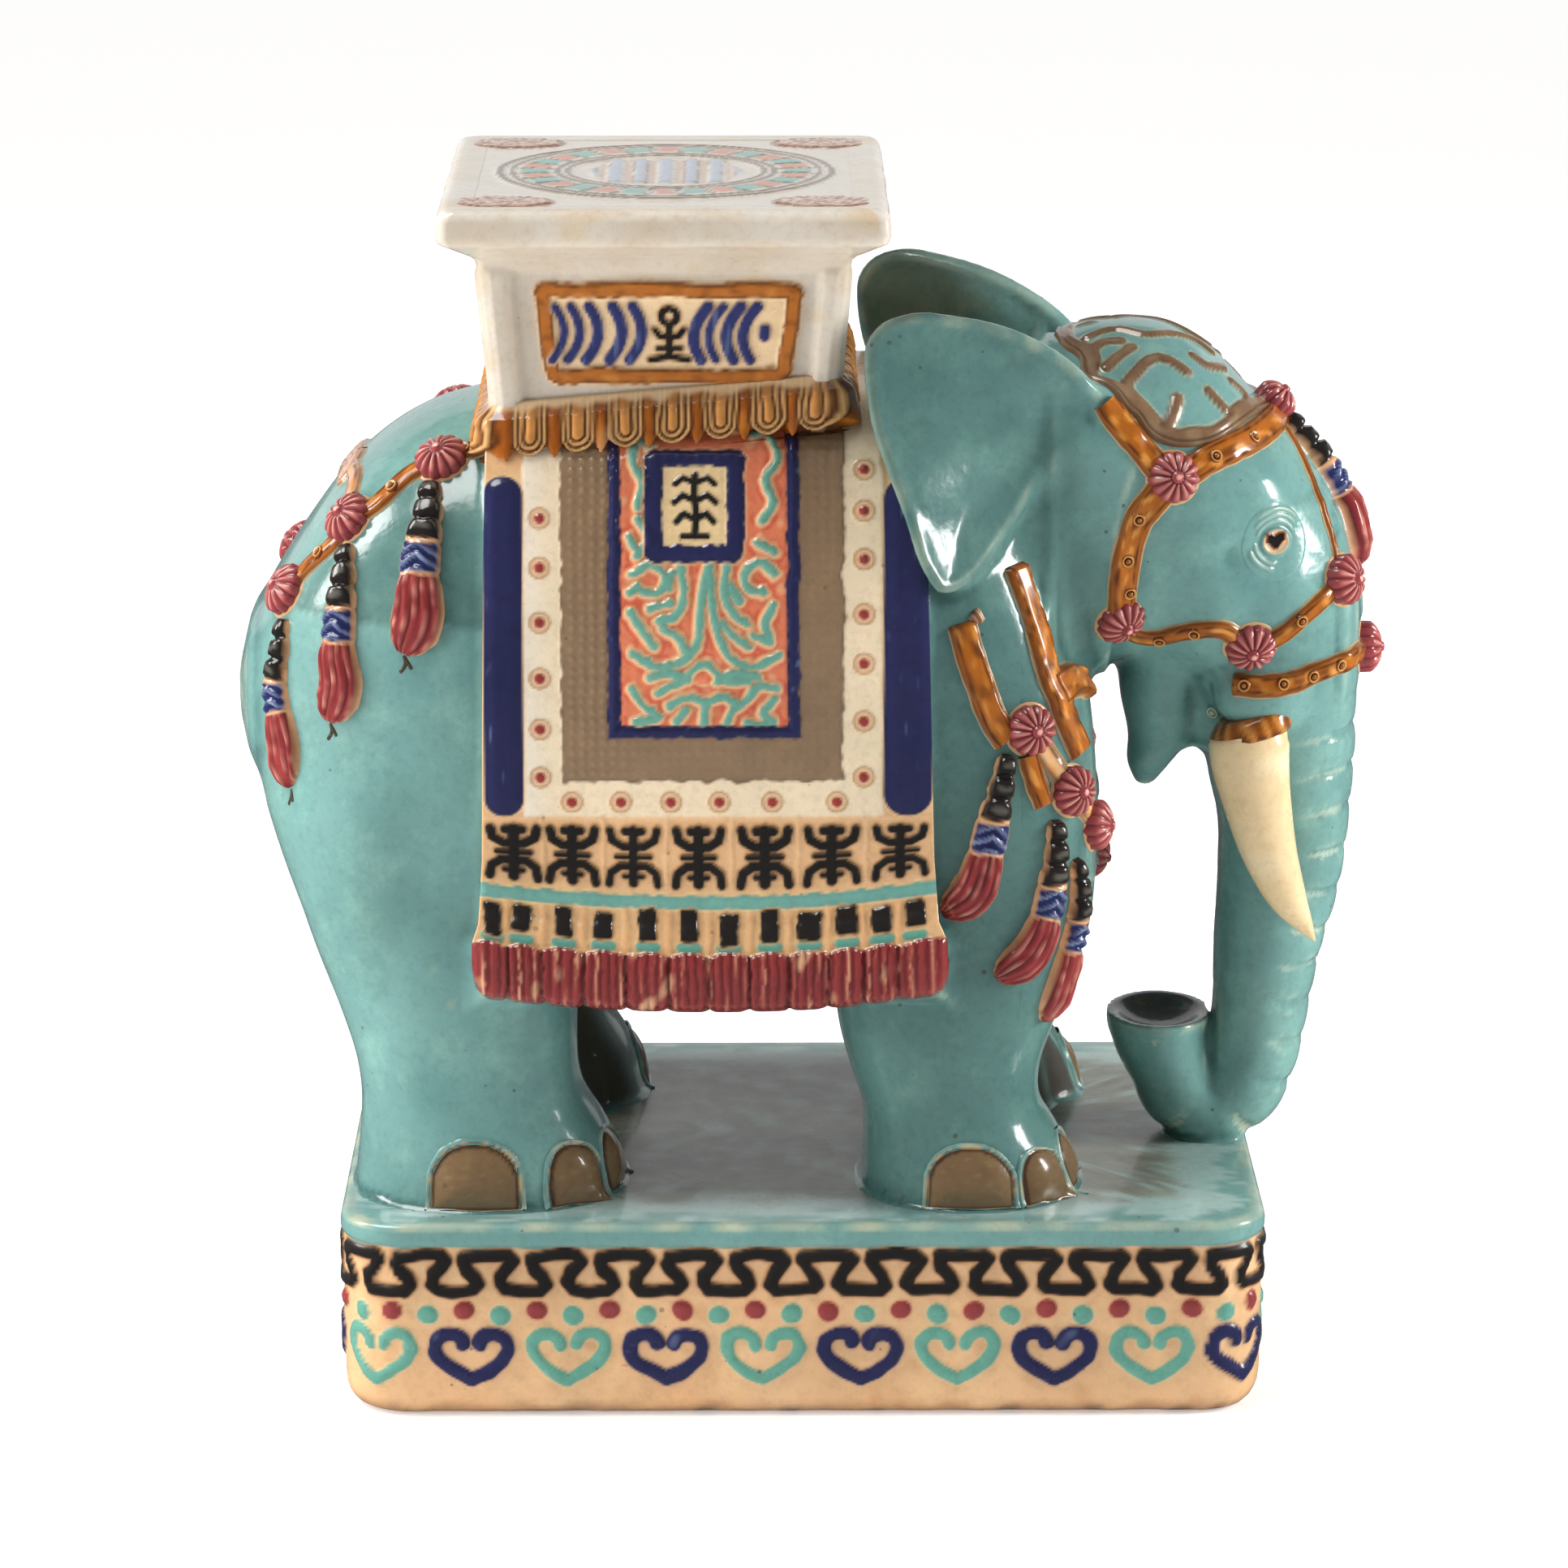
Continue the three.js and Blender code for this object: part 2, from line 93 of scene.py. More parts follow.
def curve(points, count, closed=False):
    """Evenly spaced points on a smooth line through the given ones. Columns after the third go along."""
    p = np.asarray(points, float)
    dims = min(3, p.shape[1])
    if closed:
        p = np.vstack([p[-1:], p, p[:2]])
    else:
        p = np.vstack([2 * p[:1] - p[1:2], p, 2 * p[-1:] - p[-2:-1]])
    gaps = np.linalg.norm(np.diff(p[:, :dims], axis=0), axis=1) ** 0.5
    knot = np.concatenate([[0], np.cumsum(np.maximum(gaps, 1e-6))])
    t = np.linspace(knot[1], knot[-2], 24 * len(p))
    i = np.clip(np.searchsorted(knot, t, side="right") - 1, 1, len(p) - 3)
    t0, t1, t2, t3 = (knot[i + k][:, None] for k in (-1, 0, 1, 2))
    p0, p1, p2, p3 = (p[i + k] for k in (-1, 0, 1, 2))
    t = t[:, None]
    a1 = (t1 - t) / (t1 - t0) * p0 + (t - t0) / (t1 - t0) * p1
    a2 = (t2 - t) / (t2 - t1) * p1 + (t - t1) / (t2 - t1) * p2
    a3 = (t3 - t) / (t3 - t2) * p2 + (t - t2) / (t3 - t2) * p3
    b1 = (t2 - t) / (t2 - t0) * a1 + (t - t0) / (t2 - t0) * a2
    b2 = (t3 - t) / (t3 - t1) * a2 + (t - t1) / (t3 - t1) * a3
    fine = (t2 - t) / (t2 - t1) * b1 + (t - t1) / (t2 - t1) * b2
    run = running(fine[:, :dims])
    want = np.linspace(0, run[-1], count + 1 if closed else count)[:count]
    return np.stack([np.interp(want, run, fine[:, k]) for k in range(p.shape[1])], 1)


def length_of(points):
    return running(np.asarray(points, float)[:, :3])[-1]


def distance(a, b, line, reach=1e9):
    """Distance in the plane from each (a, b) to a line of points."""
    line = np.asarray(line, float)
    out = np.full(a.shape, 1e3)
    low, high = line.min(0) - reach, line.max(0) + reach
    near = (a > low[0]) & (a < high[0]) & (b > low[1]) & (b < high[1])
    pa, pb = a[near], b[near]
    best = np.full(pa.shape, 1e6)
    for (a0, b0), (a1, b1) in zip(line[:-1], line[1:]):
        da, db = a1 - a0, b1 - b0
        t = np.clip(((pa - a0) * da + (pb - b0) * db) / max(da * da + db * db, 1e-9), 0, 1)
        best = np.minimum(best, (pa - a0 - t * da) ** 2 + (pb - b0 - t * db) ** 2)
    out[near] = np.sqrt(best)
    return out


def outline(a, b, line):
    """Signed distance to a closed outline, negative inside."""
    line = np.asarray(line, float)
    ring = np.vstack([line, line[:1]])
    inside = np.zeros(a.shape, bool)
    for (a0, b0), (a1, b1) in zip(ring[:-1], ring[1:]):
        crosses = (b0 > b) != (b1 > b)
        inside ^= crosses & (a < (a1 - a0) * (b - b0) / (b1 - b0 + 1e-12) + a0)
    return np.where(inside, -1, 1) * distance(a, b, ring)


def rounded_box(a, b, half_a, half_b, corner):
    """Signed distance to a rectangle with round corners, negative inside."""
    qa, qb = np.abs(a) - (half_a - corner), np.abs(b) - (half_b - corner)
    return np.hypot(np.maximum(qa, 0), np.maximum(qb, 0)) + np.minimum(np.maximum(qa, qb), 0) - corner


def ripple(a, b, size, seed):
    """A smooth uneven field of about -1 to 1, with bumps of about the given size."""
    rng = np.random.default_rng(seed)
    total = np.zeros(np.broadcast(a, b).shape)
    for _ in range(6):
        angle, phase = rng.uniform(0, 2 * math.pi, 2)
        pitch = size * rng.uniform(0.7, 1.6)
        total += np.sin((a * math.cos(angle) + b * math.sin(angle)) * 2 * math.pi / pitch + phase)
    return total / 3.5


# The body as a field of distances on a grid, for the near half, which is mirrored.
CELL = 2.0
GX = np.arange(-274, 282, CELL)
GY = np.arange(-148, 1, CELL)
GZ = np.arange(80, 519, CELL)

# Stations [x, y, z, half-width, half-depth].
BARREL = [
    [-261, 0, 310, 2, 3], [-257, 0, 314, 40, 28], [-247, 0, 315, 64, 46], [-230, 0, 312, 85, 76],
    [-205, 0, 308, 101, 112], [-170, 0, 314, 111, 130], [-110, 0, 322, 113, 133], [-50, 0, 324, 114, 134],
    [10, 0, 324, 113, 135], [60, 0, 318, 111, 134], [95, 0, 297, 104, 124], [120, 0, 275, 90, 88],
    [133, 0, 260, 66, 48], [137, 0, 255, 30, 20],
]
HIND_LEG = [
    [-162, -55, 320, 50, 64], [-164, -62, 266, 52, 61], [-161, -64, 222, 51, 57], [-156, -66, 176, 49, 52],
    [-153, -67, 140, 48, 51], [-147, -68, 116, 51, 58], [-145, -68, 90, 54, 63],
]
FORE_LEG = [
    [72, -50, 320, 46, 56], [74, -58, 270, 50, 58], [73, -62, 220, 50, 57], [67, -65, 174, 48, 51],
    [66, -66, 148, 46, 44], [69, -67, 131, 46, 41.5], [74, -68, 114, 50, 46], [78, -68, 90, 54, 51],
]
NECK = [[40, 0, 392, 62, 60], [75, 0, 396, 70, 70], [110, 0, 396, 72, 78], [140, 0, 396, 68, 76]]
HEAD = [
    [106, 0, 402, 4, 4], [110, 0, 402, 44, 50], [124, 0, 403, 60, 73], [146, 0, 404, 66, 78.5],
    [168, 0, 402, 68, 78.5], [190, 0, 391, 66, 77], [206, 0, 384, 60, 68], [219, 0, 379, 53, 62],
    [231, 0, 372, 44, 54], [243, 0, 364, 34, 45], [252, 0, 357, 23, 30], [257, 0, 354, 3, 4],
]
TRUNK = [
    [211, 0, 392, 40, 29], [218, 0, 352, 46, 40], [222, 0, 325, 43, 38.5], [223, 0, 300, 39, 36.5],
    [224.6, 0, 278, 36, 35], [226.6, 0, 248, 33, 31], [225, 0, 218, 30, 29], [220.5, 0, 187, 28, 25.6],
    [217.6, 0, 156, 27, 23], [214, 0, 134, 27, 22.5], [207.5, 0, 117, 27, 22.5], [195, 0, 108, 27, 22],
    [183, 0, 113, 28, 21.5], [176.5, 0, 126, 29, 21], [171.2, 0, 139, 30, 22.5], [169.6, 0, 148, 31, 24.3],
    [169.5, 0, 152.5, 31, 24.8],
]
JAW = [
    [176, 0, 352, 40, 26], [172, 0, 330, 34, 24], [168, 0, 308, 27, 19], [168, 0, 288, 20, 15],
    [163, 0, 274, 14, 10], [161, 0, 264, 6, 4],
]
MOUTH = [
    [196, 0, 345, 34, 24], [195, 0, 312, 27, 20], [192, 0, 294, 21, 17], [190, 0, 285, 13, 10],
    [190, 0, 281, 4, 3],
]
TUSK = [
    [209, -36, 322, 12, 12.5], [208.5, -38, 305, 14, 15.5], [206.5, -41, 295, 15, 18.6],
    [206.8, -43, 286, 15, 18.3], [210, -45, 268, 14, 16], [216.5, -47, 242, 12, 12.8],
    [225.5, -47, 220, 8.5, 8.8], [233.5, -46, 207, 4.2, 4.2], [238.4, -46, 199.5, 0.6, 0.6],
]
# The ear's outline as X and Z, and where it grows from the head.
EAR_RIM = [
    [27, 479], [28, 489], [35, 498], [50, 502.5], [69, 500], [87, 495.5], [104, 488], [121, 477],
    [131, 466], [137, 455], [136, 446], [128, 440.5], [119, 436], [109, 425.5], [98, 409.5],
    [86, 394], [73, 382.5], [62, 380.5], [53, 392], [45, 415], [37, 436], [30, 456],
]
EAR_ROOT = (117, 450)
# The lip's swelling and the dish in the end of the trunk: a place and its half-sizes.
LIP = [(211, 21), (-36, 16), (316, 18)]
TRUNK_DISH = [(169.5, 21.5), (0, 27), (158, 14)]
# Swellings and hollows of the face: a place, a size and how far they rise.
FACE = [
    (136, -62, 443, 20, 10), (147, -66, 424, 17, 5),
    (208, -52, 416, 13, 2.6), (225, -51, 368, 12, 2.4), (213, -56, 392, 9, -2.6), (195, -65, 386, 9, -1.8),
    (178, -68, 404, 18, 1.6), (172, -66, 350, 14, -2.0), (140, -70, 420, 12, -1.6),
    (150, -66, 372, 14, 1.5),
]
# The cloth's section on one side, as distance from the middle and height.
CLOTH_HALF = [
    [0, 462], [30, 461], [60, 457], [86, 443], [102, 415], [113, 375], [119, 310], [121, 234],
    [125, 227], [128.5, 212], [127, 197], [122, 191],
]
# Where the cloths end towards the tail and the head, at a row of heights.
CLOTH_Z = [189, 217, 226, 255, 462]
CLOTH_TAIL = [-149.5, -149.5, -146.5, -144.8, -142]
CLOTH_HEAD = [66, 65, 61, 59, 54]
PLINTH = {"length": 424, "depth": 282, "height": 93, "corner": 30, "foot": 14}
# How far the far legs stand ahead of the near ones.
FAR_STEP = 8.0


def blend(a, b, soft):
    """Union of two fields with a soft joint."""
    h = np.maximum(soft - np.abs(a - b), 0) / soft
    return np.minimum(a, b) - h * h * soft / 4


def scaled(field, axis=0):
    """Turns a field that is zero on a form round an axis into distances near it."""
    g = np.gradient(field, CELL)
    along = np.abs(g[axis])
    across = np.maximum(np.hypot(*[g[k] for k in range(3) if k != axis]), 1 / 150)
    return field / (across * np.sqrt(1 + np.minimum(along / across, 3) ** 2))


def loft(stations, power, axis):
    """A form whose sections stand square to X (axis 0) or Z (axis 2)."""
    s = curve(stations, 300)
    s = s[np.argsort(s[:, axis])]
    along = (GX, GY, GZ)[axis]
    x, y, z, wide, deep = (np.interp(along, s[:, axis], s[:, k]) for k in range(5))
    beyond = np.maximum(s[0, axis] - along, along - s[-1, axis])
    if axis == 0:
        spread = (slice(None), None, None)
        b = (GZ[None, None, :] - z[spread]) / deep[spread]
    else:
        spread = (None, None, slice(None))
        b = (GX[:, None, None] - x[spread]) / deep[spread]
    a = (GY[None, :, None] - y[spread]) / wide[spread]
    r = (np.abs(a) ** power + np.abs(b) ** power) ** (1 / power) - 1
    return np.maximum(scaled(r, axis), beyond[spread])


# From one ring of the trunk to the next.
RING = 18.5


def along_trunk(px, pz):
    """Length down the trunk's line, how far ahead of it and how far past its ends, and its station."""
    s = curve(TRUNK, 260)
    i = np.argmin((px[..., None] - s[:, 0]) ** 2 + (pz[..., None] - s[:, 2]) ** 2, axis=-1)
    way = unit(np.gradient(s[:, [0, 2]], axis=0))
    dx, dz = px - s[i, 0], pz - s[i, 2]
    ahead = dx * way[i, 0] + dz * way[i, 1]
    off = dz * way[i, 0] - dx * way[i, 1]
    beyond = np.where(i == len(s) - 1, ahead, np.where(i == 0, -ahead, -1e3))
    return i * length_of(s) / (len(s) - 1), off / s[i, 4], beyond, s[i]


def trunk_field():
    """The trunk follows its own line in the middle plane, with soft rings round its front."""
    px, pz = np.meshgrid(GX, GZ, indexing="ij")
    run, b, beyond, station = along_trunk(px, pz)
    b = b[:, None, :]
    a = GY[None, :, None] / station[..., 3][:, None, :]
    d = scaled(np.sqrt(a * a + b * b) - 1)
    on = smooth(75, 100, run) * smooth(330, 290, run)
    phase = (run / RING) % 1 - 0.5
    ring = 1.5 * np.exp(-(phase * RING / 1.7) ** 2) + 0.3 + 0.3 * np.cos(2 * math.pi * phase)
    front = smooth(-0.15, 0.5, b)
    d = d + (0.1 + 0.95 * front) * (ring * on)[:, None, :]
    return np.maximum(d, beyond[:, None, :])


def ear_field():
    """An ear: a dished fan with a rolled rim and soft folds running out from its root."""
    px, pz = np.meshgrid(GX, GZ, indexing="ij")
    e = outline(px, pz, curve(EAR_RIM, 80, closed=True))
    reach = 1 - np.clip(-e / 40, 0, 1)
    from_root = px - EAR_ROOT[0], pz - EAR_ROOT[1]
    angle = np.arctan2(from_root[1], from_root[0])
    away = np.hypot(*from_root)
    fold = np.cos(angle * 8 + 0.6) * smooth(14, 38, away) * smooth(1.0, 0.7, reach)
    spread = 46 - 25 * smooth(425, 500, pz)
    middle = 8 * (1 - reach ** 2) - 65 - spread * (1 - smooth(30, 132, px))
    middle = middle - 12 * (1 - smooth(370, 450, pz)) * (1 - smooth(58, 112, px))
    # The front part sinks into the head.
    middle = middle + 15 * smooth(112, 134, px) * smooth(472, 442, pz) + 1.3 * fold
    mx, mz = np.gradient(middle, CELL)
    lean = 1 / np.sqrt(1 + mx * mx + mz * mz)
    thick = 3.9 + 0.9 * smooth(-9, -3, e)
    off = (GY[None, :, None] - middle[:, None, :]) * lean[:, None, :]
    rim = np.maximum(e + thick, 0)[:, None, :]
    return np.sqrt(rim ** 2 + off ** 2) - thick[:, None, :]


def saddle_field():
    """The filled form a little inside the cloths, and its section."""
    py, pz = np.meshgrid(GY, GZ, indexing="ij")
    half = curve(CLOTH_HALF[1:], 60)
    ring = np.vstack([[CLOTH_HALF[0]], half, [[0, 193]]])
    ring = np.vstack([ring, ring[-2:0:-1] * [-1, 1]])
    section = outline(py, pz, ring) + 4.5
    tail = np.interp(GZ, CLOTH_Z, CLOTH_TAIL) + 4
    head = np.interp(GZ, CLOTH_Z, CLOTH_HEAD) - 4
    ends = np.maximum(tail[None, :] - GX[:, None], GX[:, None] - head[None, :])
    return np.maximum(np.maximum(section[None], ends[:, None, :]), 196 - GZ[None, None, :]), section


def ellipsoid(sizes):
    """A field that is zero on an ellipsoid, given as a middle and a half-size for X, Y and Z."""
    places = GX[:, None, None], GY[None, :, None], GZ[None, None, :]
    return np.sqrt(sum(((p - middle) / half) ** 2 for p, (middle, half) in zip(places, sizes))) - 1


def slab_field(body):
    """The glazed top of the plinth, near the body."""
    px, py = np.meshgrid(GX, GY, indexing="ij")
    edge = rounded_box(px, py, PLINTH["length"] / 2, PLINTH["depth"] / 2, PLINTH["corner"]) + 4
    z = GZ[None, None, :]
    slab = np.maximum(np.maximum(z - PLINTH["height"] + 1, edge[..., None]), 85 - z)
    return np.maximum(slab, body - 10)


def body_field():
    """The near half of the body: barrel and saddle, legs, head and ear, standing on the plinth."""
    saddle, section = saddle_field()
    d = blend(loft(BARREL, 2.5, 0), saddle, 12)
    soft = 5 + 11 * smooth(322, 285, GZ)[None, None, :]
    soft = soft + 30 * smooth(-165, -205, GX)[:, None, None] * smooth(315, 265, GZ)[None, None, :]
    d = blend(d, loft(HIND_LEG, 2.25, 2), soft)
    d = blend(d, loft(FORE_LEG, 2.25, 2), 16)
    head = blend(loft(NECK, 2.2, 0), loft(HEAD, 2.15, 0), 12)
    head = blend(head, trunk_field(), 14)
    head = blend(head, loft(JAW, 2, 2), 8)
    head = blend(head, loft(MOUTH, 2, 2), 7)
    head = blend(head, scaled(ellipsoid(LIP)), 8)
    px, py, pz = GX[:, None, None], GY[None, :, None], GZ[None, None, :]
    for x, y, z, size, rise in FACE:
        head = head - rise * np.exp(-((px - x) ** 2 + (py - y) ** 2 + (pz - z) ** 2) / size ** 2)
    d = blend(d, head, 16)
    # The body stays under the cloths.
    over = np.maximum(-150 - GX, GX - 62)[:, None, None]
    under_cloth = np.maximum(d, section[None] - 2.0 - np.maximum(over, 0) * 3)
    d = np.where((GZ > 199)[None, None, :], under_cloth, d)
    soft = 7 + 13 * smooth(96, 126, GX)[:, None, None] * smooth(402, 430, GZ)[None, None, :]
    d = blend(d, ear_field(), soft)
    # A shallow dish in the end of the trunk.
    d = -blend(-d, scaled(ellipsoid(TRUNK_DISH)), 3)
    return blend(np.maximum(d, 86 - pz), slab_field(d), 6)


def whole_field():
    """Both halves of the body, with the far legs standing ahead of the near ones."""
    half = body_field()
    field = np.concatenate([half, half[:, -2::-1]], axis=1)
    y = np.concatenate([GY, -GY[-2::-1]])[None, :]
    beside_trunk = smooth(108, 126, GX)[:, None]
    far = smooth(2, 16, y) * (1 - beside_trunk) + smooth(38, 52, y) * beside_trunk
    far = far * (smooth(-234, -226, GX) * smooth(196, 182, GX))[:, None]
    far = far[..., None] * smooth(200, 150, GZ)[None, None, :]
    ahead = np.roll(field, round(FAR_STEP / CELL), axis=0)
    return (field + (ahead - field) * far).astype(np.float32)


FIELD = whole_field()
ORIGIN = np.array([GX[0], GY[0], GZ[0]])


def sample(grid, p):
    """The grid's value at points, read between its knots."""
    q = (np.asarray(p, float) - ORIGIN) / CELL
    q = np.clip(q, 0, np.array(grid.shape) - 1.001)
    i = q.astype(int)
    x, y, z = np.moveaxis(i, -1, 0)
    fx, fy, fz = np.moveaxis(q - i, -1, 0)
    low = (grid[x, y, z] * (1 - fx) + grid[x + 1, y, z] * fx) * (1 - fy)
    low = low + (grid[x, y + 1, z] * (1 - fx) + grid[x + 1, y + 1, z] * fx) * fy
    high = (grid[x, y, z + 1] * (1 - fx) + grid[x + 1, y, z + 1] * fx) * (1 - fy)
    high = high + (grid[x, y + 1, z + 1] * (1 - fx) + grid[x + 1, y + 1, z + 1] * fx) * fy
    return low * (1 - fz) + high * fz


def slope(p, reach=2.5):
    """Outward direction of the body near points."""
    steps = np.eye(3) * reach
    g = np.stack([sample(FIELD, p + s) - sample(FIELD, p - s) for s in steps], -1)
    return g / np.maximum(np.linalg.norm(g, axis=-1, keepdims=True), 1e-9)


def settle(p, turns=4):
    """Moves points on to the body."""
    p = np.array(p, float)
    for _ in range(turns):
        p -= slope(p, 1.5) * sample(FIELD, p)[..., None]
    return p


# The camera in mm, where it looks and its focal length in pixels. It also casts places in the
# photograph, which is PHOTO pixels wide and high, on to the body.
CAMERA = np.array([-24.21, -2742.48, 993.66])
FORWARD = np.array([0.00570406, 0.96627071, -0.2574653])
FOCAL = 7452.0
PHOTO = 1932
RIGHT = unit(np.cross(FORWARD, [0, 0, 1]))
UP = np.cross(RIGHT, FORWARD)


def cast(pixels):
    """Where lines of sight through pixels of the photograph meet the body."""
    px = np.asarray(pixels, float)
    middle = PHOTO / 2
    way = FORWARD * FOCAL + RIGHT * (px[:, :1] - middle) - UP * (px[:, 1:] - middle)
    way /= way[:, 1:2]
    depth = np.arange(GY[0], 147, 1.0) - CAMERA[1]
    p = CAMERA + way[:, None, :] * depth[None, :, None]
    d = sample(FIELD, p)
    hit = np.argmax(d < 0, axis=1)
    missed = ~(d < 0).any(axis=1)
    hit = np.where(missed, np.argmin(d, axis=1), np.maximum(hit, 1))
    return settle(p[np.arange(len(px)), hit])


def cast_one(pixel):
    return cast([pixel])[0]


def surface_nets(field, cell):
    """Vertices and quads of the field's zero surface: a vertex in each cell that the surface crosses."""
    solid = field < 0
    nx, ny, nz = field.shape
    corners = [(i, j, k) for i in (0, 1) for j in (0, 1) for k in (0, 1)]
    count = sum(solid[i:nx - 1 + i, j:ny - 1 + j, k:nz - 1 + k].astype(np.int8) for i, j, k in corners)
    cells = np.argwhere((count > 0) & (count < 8))
    value = {c: field[cells[:, 0] + c[0], cells[:, 1] + c[1], cells[:, 2] + c[2]] for c in corners}
    total = np.zeros((len(cells), 3))
    hits = np.zeros(len(cells))
    for c in corners:
        for axis in range(3):
            if c[axis]:
                continue
            e = tuple(v + (k == axis) for k, v in enumerate(c))
            a, b = value[c], value[e]
            cross = (a < 0) != (b < 0)
            t = np.where(cross, a / np.where(cross, a - b, 1), 0)
            point = np.tile(np.array(c, float), (len(cells), 1))
            point[:, axis] += t
            total += point * cross[:, None]
            hits += cross
    verts = (cells + total / hits[:, None]) * cell + ORIGIN
    index = np.full((nx - 1, ny - 1, nz - 1), -1)
    index[tuple(cells.T)] = np.arange(len(cells))
    faces = []
    for axis in range(3):
        a = np.moveaxis(solid, axis, 0)
        change = np.moveaxis(a[:-1] != a[1:], 0, axis)
        out = np.moveaxis(a[:-1] & ~a[1:], 0, axis)
        at = np.argwhere(change)
        u, v = [k for k in range(3) if k != axis]
        inner = [(at[:, k] > 0) & (at[:, k] < field.shape[k] - 1) for k in (u, v)]
        at = at[inner[0] & inner[1]]
        around = []
        for du, dv in ((1, 1), (0, 1), (0, 0), (1, 0)):
            beside = at.copy()
            beside[:, u] -= du
            beside[:, v] -= dv
            around.append(index[tuple(beside.T)])
        quad = np.stack(around, 1)
        flip = out[tuple(at.T)] if axis != 1 else ~out[tuple(at.T)]
        quad[~flip] = quad[~flip][:, ::-1]
        faces.append(quad)
    return verts, np.vstack(faces)


class Piece:
    """Gathers sheets of points into one mesh, with the glaze colour and mattness of each point."""

    def __init__(self):
        self.verts, self.faces, self.glaze, self.matt, self.total = [], [], [], [], 0

    def grid(self, points, glaze, matt=0.0, out=None, wrap=False, mirror=False):
        """Adds a grid of points. Its faces look the way `out` points, or away from its middle."""
        nu, nv = points.shape[:2]
        index = np.arange(nu * nv).reshape(nu, nv)
        if wrap:
            index = np.vstack([index, index[:1]])
        corners = [index[:-1, :-1], index[1:, :-1], index[1:, 1:], index[:-1, 1:]]
        quads = np.stack(corners, -1).reshape(-1, 4)
        flat = points.reshape(-1, 3)
        normal = np.cross(flat[quads[:, 2]] - flat[quads[:, 0]], flat[quads[:, 3]] - flat[quads[:, 1]])
        facing = flat[quads[:, 0]] - flat.mean(0) if out is None else out.reshape(-1, 3)[quads[:, 0]]
        if (normal * facing).sum() < 0:
            quads = quads[:, ::-1]
        colour = np.broadcast_to(glaze, points.shape).reshape(-1, 3)
        rough = np.broadcast_to(matt, points.shape[:2]).reshape(-1)
        self.mesh(flat, quads, colour, rough, mirror)

    def sheet(self, points, out, relief, height=None, **options):
        """Adds a sheet that stands off points by its relief, or by another height."""
        rise = relief.height if height is None else height
        self.grid(points + out * rise[..., None], relief.colour, relief.matt, out, **options)

    def mesh(self, verts, quads, colour, rough, mirror=False):
        for flip in (False, True) if mirror else (False,):
            self.verts.append(verts * [1, -1, 1] if flip else verts)
            self.faces.append((quads[:, ::-1] if flip else quads) + self.total)
            self.glaze.append(colour)
            self.matt.append(rough)
            self.total += len(verts)

    def build(self, name, material, slot):
        verts, faces = np.vstack(self.verts), np.vstack(self.faces)
        mesh = bpy.data.meshes.new(name)
        mesh.vertices.add(len(verts))
        mesh.vertices.foreach_set("co", (verts / 1000).ravel())
        mesh.loops.add(faces.size)
        mesh.loops.foreach_set("vertex_index", faces.ravel())
        mesh.polygons.add(len(faces))
        mesh.polygons.foreach_set("loop_start", np.arange(len(faces)) * 4)
        mesh.update(calc_edges=True)
        mesh.shade_smooth()
        colour = np.ones((len(verts), 4))
        colour[:, :3] = np.clip(np.vstack(self.glaze), 0, 1)
        glaze = mesh.color_attributes.new("glaze", "FLOAT_COLOR", "POINT")
        glaze.data.foreach_set("color", colour.ravel())
        matt = mesh.attributes.new("matt", "FLOAT", "POINT")
        matt.data.foreach_set("value", np.concatenate(self.matt))
        mesh.materials.append(material)
        obj = put(name, mesh)
        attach(obj, "root")
        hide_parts(NODE)


class Relief:
    """Height, colour and mattness over a sheet whose points have flat coordinates (a, b)."""

    def __init__(self, a, b, colour, matt=0.1):
        self.a, self.b = np.broadcast_arrays(a, b)
        self.height = np.zeros(self.a.shape)
        self.colour = np.tile(colour, self.a.shape + (1,))
        self.matt = np.full(self.a.shape, matt)

    def tint(self, cover, colour, matt=None):
        self.colour += (colour - self.colour) * np.clip(cover, 0, 1)[..., None]
        if matt is not None:
            self.matt += (matt - self.matt) * np.clip(cover, 0, 1)

    def patches(self, size, seed, low, high, cover, colour, stretch=(1, 1)):
        """Tints uneven patches: an unseen ripple of the given size, cut softly from low to high."""
        field = ripple(self.a * stretch[0], self.b * stretch[1], size, seed)
        self.tint(smooth(low, high, field) * cover, colour)

    def ridge(self, d, half, colour, rise, halo=None, matt=0.05):
        """A raised line or boss at distance d from its middle, with a thin halo where glaze breaks."""
        if halo is not None:
            self.tint(smooth(half + 1.5, half + 0.3, d) * 0.75, halo)
        self.tint(smooth(half + 0.5, half - 0.5, d), colour, matt)
        self.height = self.height + rise * smooth(half + 0.6, half * 0.35, d)

    def stroke(self, line, half, colour, rise, halo=None, matt=0.05):
        self.ridge(distance(self.a, self.b, line, half + 3), half, colour, rise, halo, matt)

    def marks(self, lines, colour, rise, halo=None, matt=0.05):
        """Several strokes, each (half-width, line), as one raised mark."""
        gap = np.full(self.a.shape, 1e3)
        for half, line in lines:
            gap = np.minimum(gap, distance(self.a, self.b, line, half + 4) - half)
        self.ridge(gap + 2, 2, colour, rise, halo, matt)


